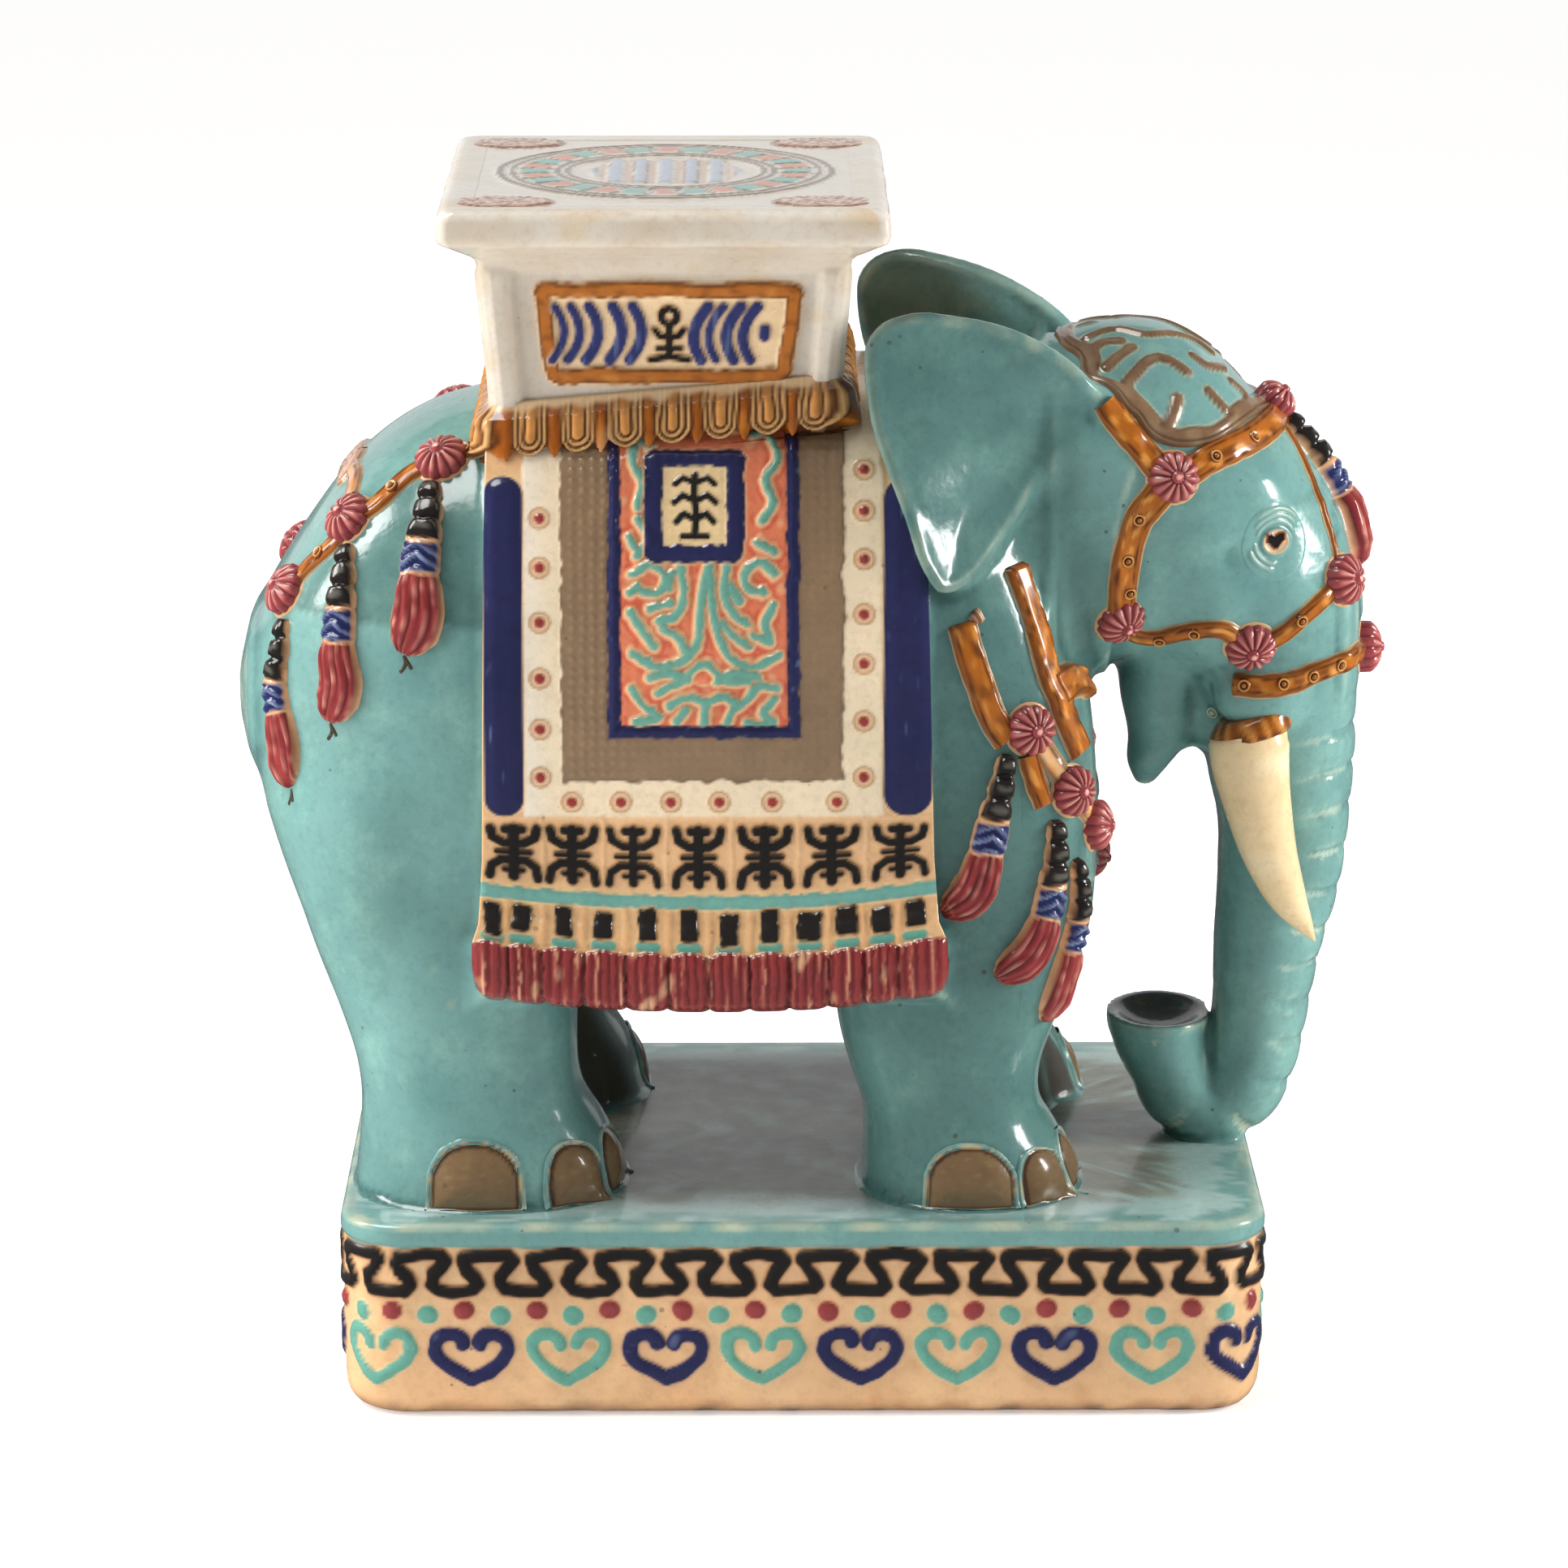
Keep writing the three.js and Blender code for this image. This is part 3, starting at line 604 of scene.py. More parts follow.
def glaze_material(name, bump=0.35, cloud=0.35, speck=0.5, gloss=0.13):
    """Fired glaze over clay: pooled and thin patches, small specks, and a soft uneven gloss."""
    material = bpy.data.materials.new(name)
    material.use_nodes = True
    tree = material.node_tree
    tree.nodes.clear()
    link = tree.links.new

    def node(kind, **values):
        made = tree.nodes.new(kind)
        for key, value in values.items():
            setattr(made, key, value)
        return made

    def noise(scale, detail, rough):
        made = node("ShaderNodeTexNoise")
        made.inputs["Scale"].default_value = scale
        made.inputs["Detail"].default_value = detail
        made.inputs["Roughness"].default_value = rough
        link(place.outputs["Object"], made.inputs["Vector"])
        return made.outputs["Fac"]

    def spread(value, low, high, to_low, to_high):
        made = node("ShaderNodeMapRange")
        for key, number in zip(("From Min", "From Max", "To Min", "To Max"), (low, high, to_low, to_high)):
            made.inputs[key].default_value = number
        link(value, made.inputs["Value"])
        return made.outputs["Result"]

    def mix(kind, factor, first, second):
        """Mixes a linked colour with a fixed one."""
        made = node("ShaderNodeMix", data_type="RGBA", blend_type=kind)
        link(factor, made.inputs[0])
        link(first, made.inputs[6])
        made.inputs[7].default_value = second
        return made.outputs[2]

    def maths(operation, first, second, **values):
        made = node("ShaderNodeMath", operation=operation, **values)
        link(first, made.inputs[0])
        if isinstance(second, float):
            made.inputs[1].default_value = second
        else:
            link(second, made.inputs[1])
        return made.outputs[0]

    def bumps(height, strength, depth):
        made = node("ShaderNodeBump")
        made.inputs["Strength"].default_value = strength
        made.inputs["Distance"].default_value = depth
        link(height, made.inputs["Height"])
        return made

    place = node("ShaderNodeTexCoord")
    base = node("ShaderNodeAttribute", attribute_name="glaze")
    matt = node("ShaderNodeAttribute", attribute_name="matt")
    shader = node("ShaderNodeBsdfPrincipled")
    output = node("ShaderNodeOutputMaterial")
    # Colour: glaze pools and runs thin in patches, is finely mottled, and carries small dark specks.
    pool = spread(noise(11, 5, 0.6), 0.42, 0.66, 0, cloud)
    pooled = mix("MULTIPLY", pool, base.outputs["Color"], (0.55, 0.62, 0.64, 1))
    thinning = spread(noise(38, 6, 0.7), 0.5, 0.72, 0, cloud * 0.9)
    thin = mix("SOFT_LIGHT", thinning, pooled, (0.95, 0.93, 0.82, 1))
    fine = mix("MULTIPLY", spread(noise(240, 4, 0.7), 0.48, 0.75, 0, 0.35), thin, (0.62, 0.56, 0.5, 1))
    spots = node("ShaderNodeTexVoronoi")
    spots.inputs["Scale"].default_value = 95
    link(place.outputs["Object"], spots.inputs["Vector"])
    speck_size = spread(noise(60, 2, 0.5), 0.5, 0.7, 0.02, 0.13)
    in_speck = maths("LESS_THAN", spots.outputs["Distance"], speck_size)
    colour = mix("MIX", maths("MULTIPLY", in_speck, speck), fine, (0.05, 0.032, 0.02, 1))
    link(colour, shader.inputs["Base Color"])
    # Gloss: uneven, and duller where the piece says so.
    grain = spread(noise(70, 5, 0.65), 0.35, 0.7, gloss, gloss + 0.12)
    matt_part = spread(matt.outputs["Fac"], 0, 1, 0, 0.5)
    link(maths("ADD", grain, matt_part, use_clamp=True), shader.inputs["Roughness"])
    # Bump: long waves with fine pits on them, as deep in metres as the last value says.
    wave = bumps(noise(55, 3, 0.5), bump, 0.0012)
    pit = bumps(noise(420, 3, 0.6), bump * 0.6, 0.0003)
    link(wave.outputs["Normal"], pit.inputs["Normal"])
    link(pit.outputs["Normal"], shader.inputs["Normal"])
    shader.inputs["IOR"].default_value = 1.52
    shader.inputs["Coat Weight"].default_value = 0.35
    shader.inputs["Coat Roughness"].default_value = 0.06
    link(shader.outputs["BSDF"], output.inputs["Surface"])
    return material


BODY_GLAZE = glaze_material("turquoise_glaze", bump=0.45, cloud=0.5, speck=0.55)
PAINTED = glaze_material("painted_glazes", bump=0.25, cloud=0.3, speck=0.35)
PLINTH_GLAZE = glaze_material("plinth_glazes", bump=0.3, cloud=0.35, speck=0.5, gloss=0.16)
SEAT_GLAZE = glaze_material("white_glaze", bump=0.14, cloud=0.14, speck=0.2, gloss=0.12)


def bend_of(verts, reach=3.5):
    """How sharply the body bends at points: above 0 on edges, below 0 in hollows."""
    bend = np.zeros(len(verts))
    for axis in np.eye(3) * reach:
        bend += sample(FIELD, verts + axis) + sample(FIELD, verts - axis)
    return (bend - 6 * sample(FIELD, verts)) / reach ** 2


def trunk_ring_highlights(verts):
    """Short pale lines along the rings on the trunk's front, painted as highlights: 1 on them, 0 off them.
    """
    x, y, z = verts.T
    near = (x > 165) & (np.abs(y) < 46) & (z < 330)
    run, ahead, _, _ = along_trunk(x[near], z[near])
    line = line_at((run / RING) % 1 * RING, RING / 2, 1.9, 0.5) * smooth(95, 110, run)
    line = line * smooth(0.05, 0.3, ahead) * smooth(0.95, 0.7, ahead)
    cover = np.zeros(len(verts))
    cover[near] = line * smooth(-0.3, 0.5, ripple(run * 1.4, y[near], 26, 9))
    return cover


def body_glaze(verts):
    """Colour and mattness of the body: pale on edges, deep in hollows, with painted shade in the trunk's
    end, inside the legs and where the body lies out of the light.
    """
    bend = bend_of(verts)
    x, y, z = verts.T
    colour = np.tile(TURQUOISE, (len(verts), 1))
    matt = np.zeros(len(verts))

    def tint(cover, to):
        colour[:] += (to - colour) * np.clip(cover, 0, 1)[:, None]

    tint(smooth(0.2, 1.5, ripple(x + z * 0.4, y + z, 90, 6)) * 0.35, ink(134, 178, 168))
    tint(smooth(0.3, 1.5, ripple(x, y + z, 46, 7)) * 0.35, ink(84, 132, 132))
    uneven = 0.65 + 0.6 * ripple(x + y, z, 18, 8)
    tint(smooth(0.06, 0.26, bend) * 0.45 * uneven, SHELL)
    ringed = smooth(180, 195, x) * smooth(330, 310, z)
    ringed = np.maximum(ringed, smooth(56, 64, np.abs(y)) * smooth(375, 390, z) * smooth(135, 120, x))
    tint(smooth(-0.02, -0.14, bend) * (0.75 - 0.6 * ringed), TURQUOISE_DEEP)
    # Painted highlights along the trunk's rings.
    tint(trunk_ring_highlights(verts) * 0.75, ink(196, 208, 186))
    # Painted shade: the lower part of the dish in the trunk's end is dark.
    (dish_x, _), _, (dish_z, _) = TRUNK_DISH
    cup = ((x - dish_x) / 22.5) ** 2 + (y / 28) ** 2 + ((z - dish_z) / 14) ** 2
    tint(smooth(1.5, 1.05, cup) * (z > 142) * (z < dish_z) * (x < 196) * 0.85, ink(62, 60, 52))
    # Inside the legs the body is dark brown and dull: bare clay, darkened further as painted shade where
    # these faces lie out of the light.
    inward = slope(verts)[:, 1] * -np.sign(y)
    bare = smooth(0.15, 0.6, inward) * smooth(205, 190, z) * smooth(93, 97, z) * (x < 150)
    tint(bare * 0.9, ink(88, 70, 54))
    matt += 0.7 * bare
    # Painted shade: the forelegs, the neck, the ears, and the lower body from the hind leg's front to the
    # forelegs are darkened where they lie out of the light.
    thick = smooth(15, 50, x) * smooth(150, 125, x) * smooth(440, 380, z) * smooth(96, 130, z)
    thick = np.maximum(thick, smooth(62, 74, np.abs(y)) * (z > 365) * smooth(135, 118, x))
    low = smooth(240, 215, z) * (z > 96)
    thick = np.maximum(thick, 0.9 * low * smooth(-118, -84, x) * smooth(150, 125, x))
    colour *= 1 - 0.42 * thick[:, None] * np.array([1, 0.95, 0.96])
    patch = smooth(1.15, 1.5, ripple(x + 0.5 * y, z - 0.5 * y, 10, 10))
    tint(patch * smooth(0.3, 1.2, ripple(x, z + y, 70, 12)) * 0.6, ink(196, 196, 164))
    return colour, matt


def in_head(p):
    """How far points lie inside the head's share of the body: ahead of the neck, and its upper part."""
    return np.maximum(p[:, 0] - 98, np.minimum(p[:, 0] - 20, p[:, 2] - 364))


def build_body():
    """The barrel and legs as a coarse skin, and the head with its ears as a fine one that laps over it."""
    lap = 9
    verts, quads = surface_nets(FIELD[::2, ::2, ::2], 2 * CELL)
    verts = settle(verts, 2)
    margin = in_head(verts)
    quads = quads[margin[quads].max(1) < lap]
    colour, matt = body_glaze(verts)
    # The coarse skin dips under the fine one.
    verts = verts - slope(verts) * (0.6 * smooth(0.5, 7, margin))[:, None]
    piece = Piece()
    piece.mesh(verts, quads, colour, matt)
    piece.build("body", BODY_GLAZE, "turquoise_glaze")
    verts, quads = surface_nets(FIELD, CELL)
    quads = quads[in_head(verts)[quads].min(1) > 0]
    used, quads = np.unique(quads, return_inverse=True)
    verts = settle(verts[used], 2)
    piece = Piece()
    piece.mesh(verts, quads.reshape(-1, 4), *body_glaze(verts))
    piece.build("head", BODY_GLAZE, "turquoise_glaze")


def rounded(half_x, half_y, corner, across, along, arc, back=None):
    """A rounded rectangle as points, outward ways, lengths from the near side's middle, and its whole
    length. The near side has `across` points, the ends `along`, the far side `back` and a corner `arc`."""
    points, ways = [], []
    half = half_x, half_y
    # Each side's axis, which way it runs, where it stands, its count of points and its last corner.
    sides = [
        (0, 1, -1, across, (1, -1)), (1, 1, 1, along, (1, 1)),
        (0, -1, 1, back or across, (-1, 1)), (1, -1, -1, along, (-1, -1)),
    ]
    for k, (axis, turn, sign, count, end) in enumerate(sides):
        side, way = np.zeros((2, count, 2))
        side[:, axis] = np.linspace(-turn, turn, count, endpoint=False) * (half[axis] - corner)
        side[:, 1 - axis] = sign * half[1 - axis]
        way[:, 1 - axis] = sign
        angle = (k - 1) * math.pi / 2 + np.linspace(0, math.pi / 2, arc, endpoint=False)
        turning = np.stack([np.cos(angle), np.sin(angle)], 1)
        middle = np.array(end) * (np.array(half) - corner)
        points += [side, middle + turning * corner]
        ways += [way, turning]
    points, ways = np.vstack(points), np.vstack(ways)
    gaps = np.linalg.norm(np.roll(points, -1, 0) - points, axis=1)
    run = np.concatenate([[0], np.cumsum(gaps)])[:-1]
    start = np.interp(0, points[:across, 0], run[:across])
    return points, ways, run - start, gaps.sum()


# The plinth's ornament: each mark's pitch round the plinth, where one stands, and its line as length
# and height (a heart's from its own middle). All sizes are in mm.
KEY = {
    "pitch": 30.9, "phase": 10.5, "half": 3.2, "rise": 2.0,
    "line": [
        (-10.2, 78), (0, 78.4), (9.8, 78.2), (11.9, 76.2), (9.4, 72.6), (6.6, 69), (5.6, 64.6),
        (8.2, 61.9), (15, 61.4), (24.2, 61.7), (26.8, 64.2), (25, 68.4), (21.8, 72), (20.3, 75.6),
        (20.7, 78),
    ],
}
DOT = {"pitch": 16.6, "phase": 3.0, "z": 52, "drop": 2.4, "radius": 4.6, "rise": 1.7}
HEART = {
    "pitch": 44.4, "phase": 26.0, "z": 31.0, "half": 3.1, "rise": 1.8,
    "line": [
        (3.6, 4.4), (4.8, 7.8), (9.2, 9.9), (14.4, 8.4), (16.6, 3.6), (14.9, -1.8), (7.8, -8.0),
        (0.0, -12.6),
    ],
}


def fold(run, total, pitch, near=235.0, even=False):
    """Running length with the far part eased, so that whole repeats fit round the plinth."""
    half = total / 2
    repeats = round(total / pitch / (2 if even else 1)) * (2 if even else 1)
    run = (run + half) % total - half
    want = repeats * pitch / 2
    far = near + (np.abs(run) - near) * (want - near) / (half - near)
    return np.where(np.abs(run) < near, run, np.sign(run) * far)


def plinth_rows():
    """The plinth's section from the middle of its foot to the middle of its top: heights and insets."""
    foot, height = PLINTH["foot"], PLINTH["height"]
    angle = np.linspace(0, math.pi / 2, 7)
    turn = [(foot * (1 - math.cos(t)) * 0.9, 1.5 + foot * (1 - math.sin(t)) * 0.7) for t in angle]
    face = [(z, 1.5) for z in np.linspace(turn[-1][0] + 1.2, height - 11.0, 66)]
    rim = [
        (-10.2, 1.2), (-9.4, 0.4), (-8, 0), (-5.5, -0.1), (-3.6, 0.1), (-2.2, 0.5), (-1.0, 1.5),
        (-0.2, 3.0),
    ]
    top = (5, 8, 12, 17, 22, 28, 35, 43, 52, 62, 73, 85, 98, 112, 126, 141)
    rows = [(0.0, inset) for inset in (141, 60, 14)] + turn + face
    rows += [(height + z, inset) for z, inset in rim] + [(height - 0.1, inset) for inset in top]
    return np.array(rows).T


def paint_plinth_side(r, total, wob, small):
    """The key line, the dots and the hearts, red or blue and green in turn."""
    a, b = r.a, r.b + 0.7 * wob
    key = fold(a, total, KEY["pitch"])
    u = (key - KEY["phase"] + 15.4 + 0.5 * small) % KEY["pitch"] - 15.4
    line = np.array(KEY["line"])
    d = np.minimum(distance(u, b, line, 6), distance(u, b, line - [KEY["pitch"], 0], 6))
    r.ridge(d, KEY["half"] + 0.25 * small, BLACK, KEY["rise"], halo=ink(186, 130, 84), matt=0.3)
    dots = fold(a, total, DOT["pitch"], even=True) - DOT["phase"]
    red = np.floor(dots / DOT["pitch"]) % 2 == 0
    u = dots % DOT["pitch"] - DOT["pitch"] / 2
    d = np.hypot(u * 0.95, b - (DOT["z"] - np.where(red, 0, DOT["drop"])))
    r.ridge(np.where(red, d, 99), DOT["radius"], MAROON, DOT["rise"], halo=ink(226, 160, 120))
    r.ridge(np.where(red, 99, d), DOT["radius"], SCROLL, DOT["rise"] * 0.8, halo=ink(214, 196, 150))
    hearts = fold(a, total, HEART["pitch"], even=True) - HEART["phase"]
    blue = np.floor(hearts / HEART["pitch"] + 0.5) % 2 == 0
    u = (hearts + HEART["pitch"] / 2) % HEART["pitch"] - HEART["pitch"] / 2
    half, rise = HEART["half"], HEART["rise"]
    d = distance(np.abs(u) + 0.5 * small, b - HEART["z"], curve(HEART["line"], 34), 7)
    r.ridge(np.where(blue, d, 99), half + 0.35, BLUE, rise, halo=ink(200, 160, 130))
    r.ridge(np.where(blue, 99, d), half, SCROLL, rise * 0.85, halo=ink(220, 190, 140))
    r.patches(13, 4, 0.6, 1.5, np.where(blue, smooth(3, 1, d), 0) * 0.55, BLUE_PALE)


def paint_plinth_top(r, x, y, inset, wob):
    """The glazed rim and top, dull and brown in the middle. Gives how far each point is glazed."""
    z, height = r.b, PLINTH["height"]
    top = smooth(height - 11.4, height - 10.4, z + 0.5 * wob)
    r.height *= 1 - top
    r.tint(top, TURQUOISE, 0.0)
    r.tint(z < 0.5, ink(190, 140, 100), 0.8)
    r.tint(line_at(z, height - 1.2, 2.6, 0.6) * (inset < 6) * (0.3 + 0.25 * wob), ink(204, 200, 168))
    on_top = (inset > 7) & (z > height / 2)
    r.tint(on_top * 0.3, ink(128, 164, 158))
    deep = inset + 9 * ripple(x, y * 2, 34, 54)
    r.tint(on_top * smooth(24, 44, deep) * 0.85, ink(144, 138, 122))
    stain = smooth(30, 50, deep) * smooth(0.1, 1.0, ripple(x, y * 2, 40, 55))
    r.tint(on_top * stain * 0.5, ink(84, 76, 62))
    pale = smooth(0.3, 0.8, ripple(x, y * 2.4, 30, 19)) + smooth(12, 20, deep) * smooth(46, 34, deep)
    r.tint(on_top * np.minimum(pale, 1) * 0.75, ink(176, 200, 196))
    r.matt += on_top * smooth(24, 44, deep) * 0.2
    return top


def build_plinth():
    half_x, half_y, corner = PLINTH["length"] / 2, PLINTH["depth"] / 2, PLINTH["corner"]
    points, ways, run, total = rounded(half_x, half_y, corner, 470, 116, 24, 176)
    z, inset = plinth_rows()
    # Rows inset further than the corner's radius shrink towards the middle.
    round_part = corner - 0.2
    grid = points[:, None, :] - ways[:, None, :] * np.minimum(inset, round_part)[None, :, None]
    deeper = np.clip(inset - round_part, 0, half_y - round_part)
    scales = [1 - deeper / (half - round_part) for half in (half_x, half_y)]
    grid = grid * np.stack(scales, -1)[None]
    r = Relief(run[:, None], z[None, :], PEACH, 0.25)
    wob, small = ripple(r.a, r.b, 26, 1), ripple(r.a, r.b, 9, 2)
    warm = ripple(r.a, r.b, 70, 3)
    r.tint(smooth(0.1, 1.2, warm) * 0.35, ink(236, 200, 158))
    r.tint(smooth(0.2, 1.3, -warm) * 0.3, ink(214, 152, 98))
    r.patches(17, 6, 0.4, 1.4, 0.35, ink(196, 142, 92))
    r.height += 0.35 * wob + 0.15 * small
    paint_plinth_side(r, total, wob, small)
    top = paint_plinth_top(r, grid[..., 0], grid[..., 1], inset[None, :], wob)
    # Brown scratches, and worn clay along the foot.
    scratch = smooth(1.1, 1.6, ripple(r.a * 0.5, r.b * 2.4, 7, 51)) * (1 - top)
    scratch = scratch * smooth(0.0, 1.2, ripple(r.a, r.b, 45, 52))
    r.tint(scratch * smooth(36, 31, r.b) * 0.6, ink(134, 90, 60))
    r.tint(scratch * 0.3, ink(150, 100, 66))
    r.tint(smooth(9, 2, r.b + 2 * wob) * 0.55, ink(150, 108, 74), 0.4)
    r.tint(smooth(8, 1, r.b) * smooth(0.0, 1.0, ripple(r.a, r.b, 22, 5)) * 0.7, ink(104, 76, 56), 0.6)
    xy = grid + ways[:, None, :] * r.height[..., None]
    piece = Piece()
    piece.grid(np.concatenate([xy, r.b[..., None]], -1), r.colour, r.matt, wrap=True)
    piece.build("plinth", PLINTH_GLAZE, "buff_glaze")


# What the cloth shows, as X and height on its near side: strips as their two sides, the field and the
# panel's frame as both sides and a lower edge, and the square as both sides and both edges.
CLOTH = {
    "strips": [(-143.6, -125.2), (35.6, 58.4)],
    "strip": (281, 431),
    "field": (-108.5, 18.0, 296.0),
    "frame": (-87.6, -1.6, 316.0),
    "line": 2.9,
    "square": (-70.8, -26.2, 394.0, 440.5),
    "bump": 4.7,
    "border": 279,
    "figures": (-130.5, -104.0, -76.6, -47.2, -17.4, 12.8, 43.6),
    "figure_z": 261.5,
    "piping": 241,
    "beads": (-140.0, -127.2, -108.0, -90.2, -70.2, -51.6, -33.6, -15.2, 2.6, 19.6, 35.4, 50.2),
    "bead_z": 230.0,
    "fringe": 219.5,
    "dots": [(-118, z) for z in (413, 392, 368, 343, 320, 298)]
    + [(27, z) for z in (433, 416, 395.5, 371.5, 349.5, 323.5, 298)]
    + [(x, 286.5) for x in (-104, -82, -59.6, -37.8, -14, 15)],
}
# A figure of the border as strokes: half-width, and a line from the figure's middle.
FIGURE = [
    (2.2, [(-10.4, 12.0), (-9.4, 7.4), (-4.4, 4.4), (4.4, 4.4), (9.4, 7.4), (10.4, 12.0)]),
    (2.6, [(0, 12.0), (0, -12.0)]),
    (2.3, [(-3.6, 11.6), (3.6, 11.6)]),
    (1.5, [(-7.4, -0.2), (7.4, -0.2)]),
    (2.1, [(-10.8, -12.8), (-10.0, -7.6), (-5.8, -4.4), (5.8, -4.4), (10.0, -7.6), (10.8, -12.8)]),
    (1.5, [(-4.0, -9.2), (4.0, -9.2)]),
]
# Scrolls of the middle panel, in mm right of its middle and up from its lower edge.
PANEL_SCROLLS = [
    [(-30, 128), (-31, 118), (-27, 108), (-29, 98)],
    [(-24, 126), (-31, 132), (-22, 134)],
    [(-29, 92), (-25, 84), (-30, 76)],
    [(30, 130), (33, 120), (28, 110), (31, 100), (26, 92)],
    [(22, 131), (30, 136), (10, 135)],
    [(-32, 68), (-24, 72), (-17, 68), (-20, 60), (-27, 60)],
    [(-10, 72), (-9, 60), (-12, 50), (-20, 47)],
    [(10, 72), (9, 60), (14, 50), (19, 46)],
    [(32, 68), (25, 73), (18, 68), (20, 61), (27, 60)],
    [(-33, 51), (-27, 43), (-22, 36)],
    [(-24, 53), (-15, 55)],
    [(31, 54), (27, 46), (29, 38), (22, 41)],
    [(-32, 33), (-22, 27), (-10, 29), (-3, 38), (-1, 56), (2, 72)],
    [(2, 72), (7, 40), (14, 29), (25, 27), (33, 32)],
    [(-20, 15), (-9, 21), (0, 28), (9, 21), (20, 20)],
    [(-32, 17), (-27, 9), (-20, 4), (-31, 2)],
    [(-15, 9), (-8, 13), (0, 11), (8, 13), (15, 10)],
    [(0, 11), (0, 1)],
    [(10, 1), (13, 7), (19, 11), (24, 18), (32, 17)],
    [(31, 12), (27, 6), (31, 1), (20, 1)],
    [(-12, 2), (-8, 7)],
    [(-18, 44), (-12, 40), (-8, 33)],
    [(20, 36), (14, 40), (9, 46)],
    [(-33, 60), (-29, 62)],
    [(12, 62), (16, 56)],
    [(-16, 62), (-14, 68)],
    [(24, 82), (31, 78)],
    [(-33, 84), (-31, 80)],
    [(6, 20), (16, 24), (24, 22)],
    [(-24, 22), (-16, 24), (-7, 21)],
]
PANEL_BOSS = (0, 21.5)
# A sprig of plain brush strokes in the small square, from its middle.
SPRIG = [
    (1.7, [(0, -15), (0.6, -4), (-0.4, 6), (0, 15)]),
    (1.5, [(0, 11), (-6, 13.5), (-9.5, 10.5)]),
    (1.5, [(0, 11), (6, 13.5), (9.5, 10.5)]),
    (1.6, [(0, 2), (-6, 5), (-10, 1.5)]),
    (1.6, [(0, 2), (6, 5), (10, 1.5)]),
    (1.6, [(0, -7), (-5.5, -4), (-9, -8)]),
    (1.6, [(0, -7), (5.5, -4), (9, -8)]),
    (1.5, [(-6, -15), (6, -15)]),
]


def hem_lift(x):
    """How far the hem rises towards its ends, worked out at each x."""
    return 6.5 * np.clip((x + 40) / 104, -1.05, 1.05) ** 2 - 1.5 + 1.5 * smooth(0, 66, x)


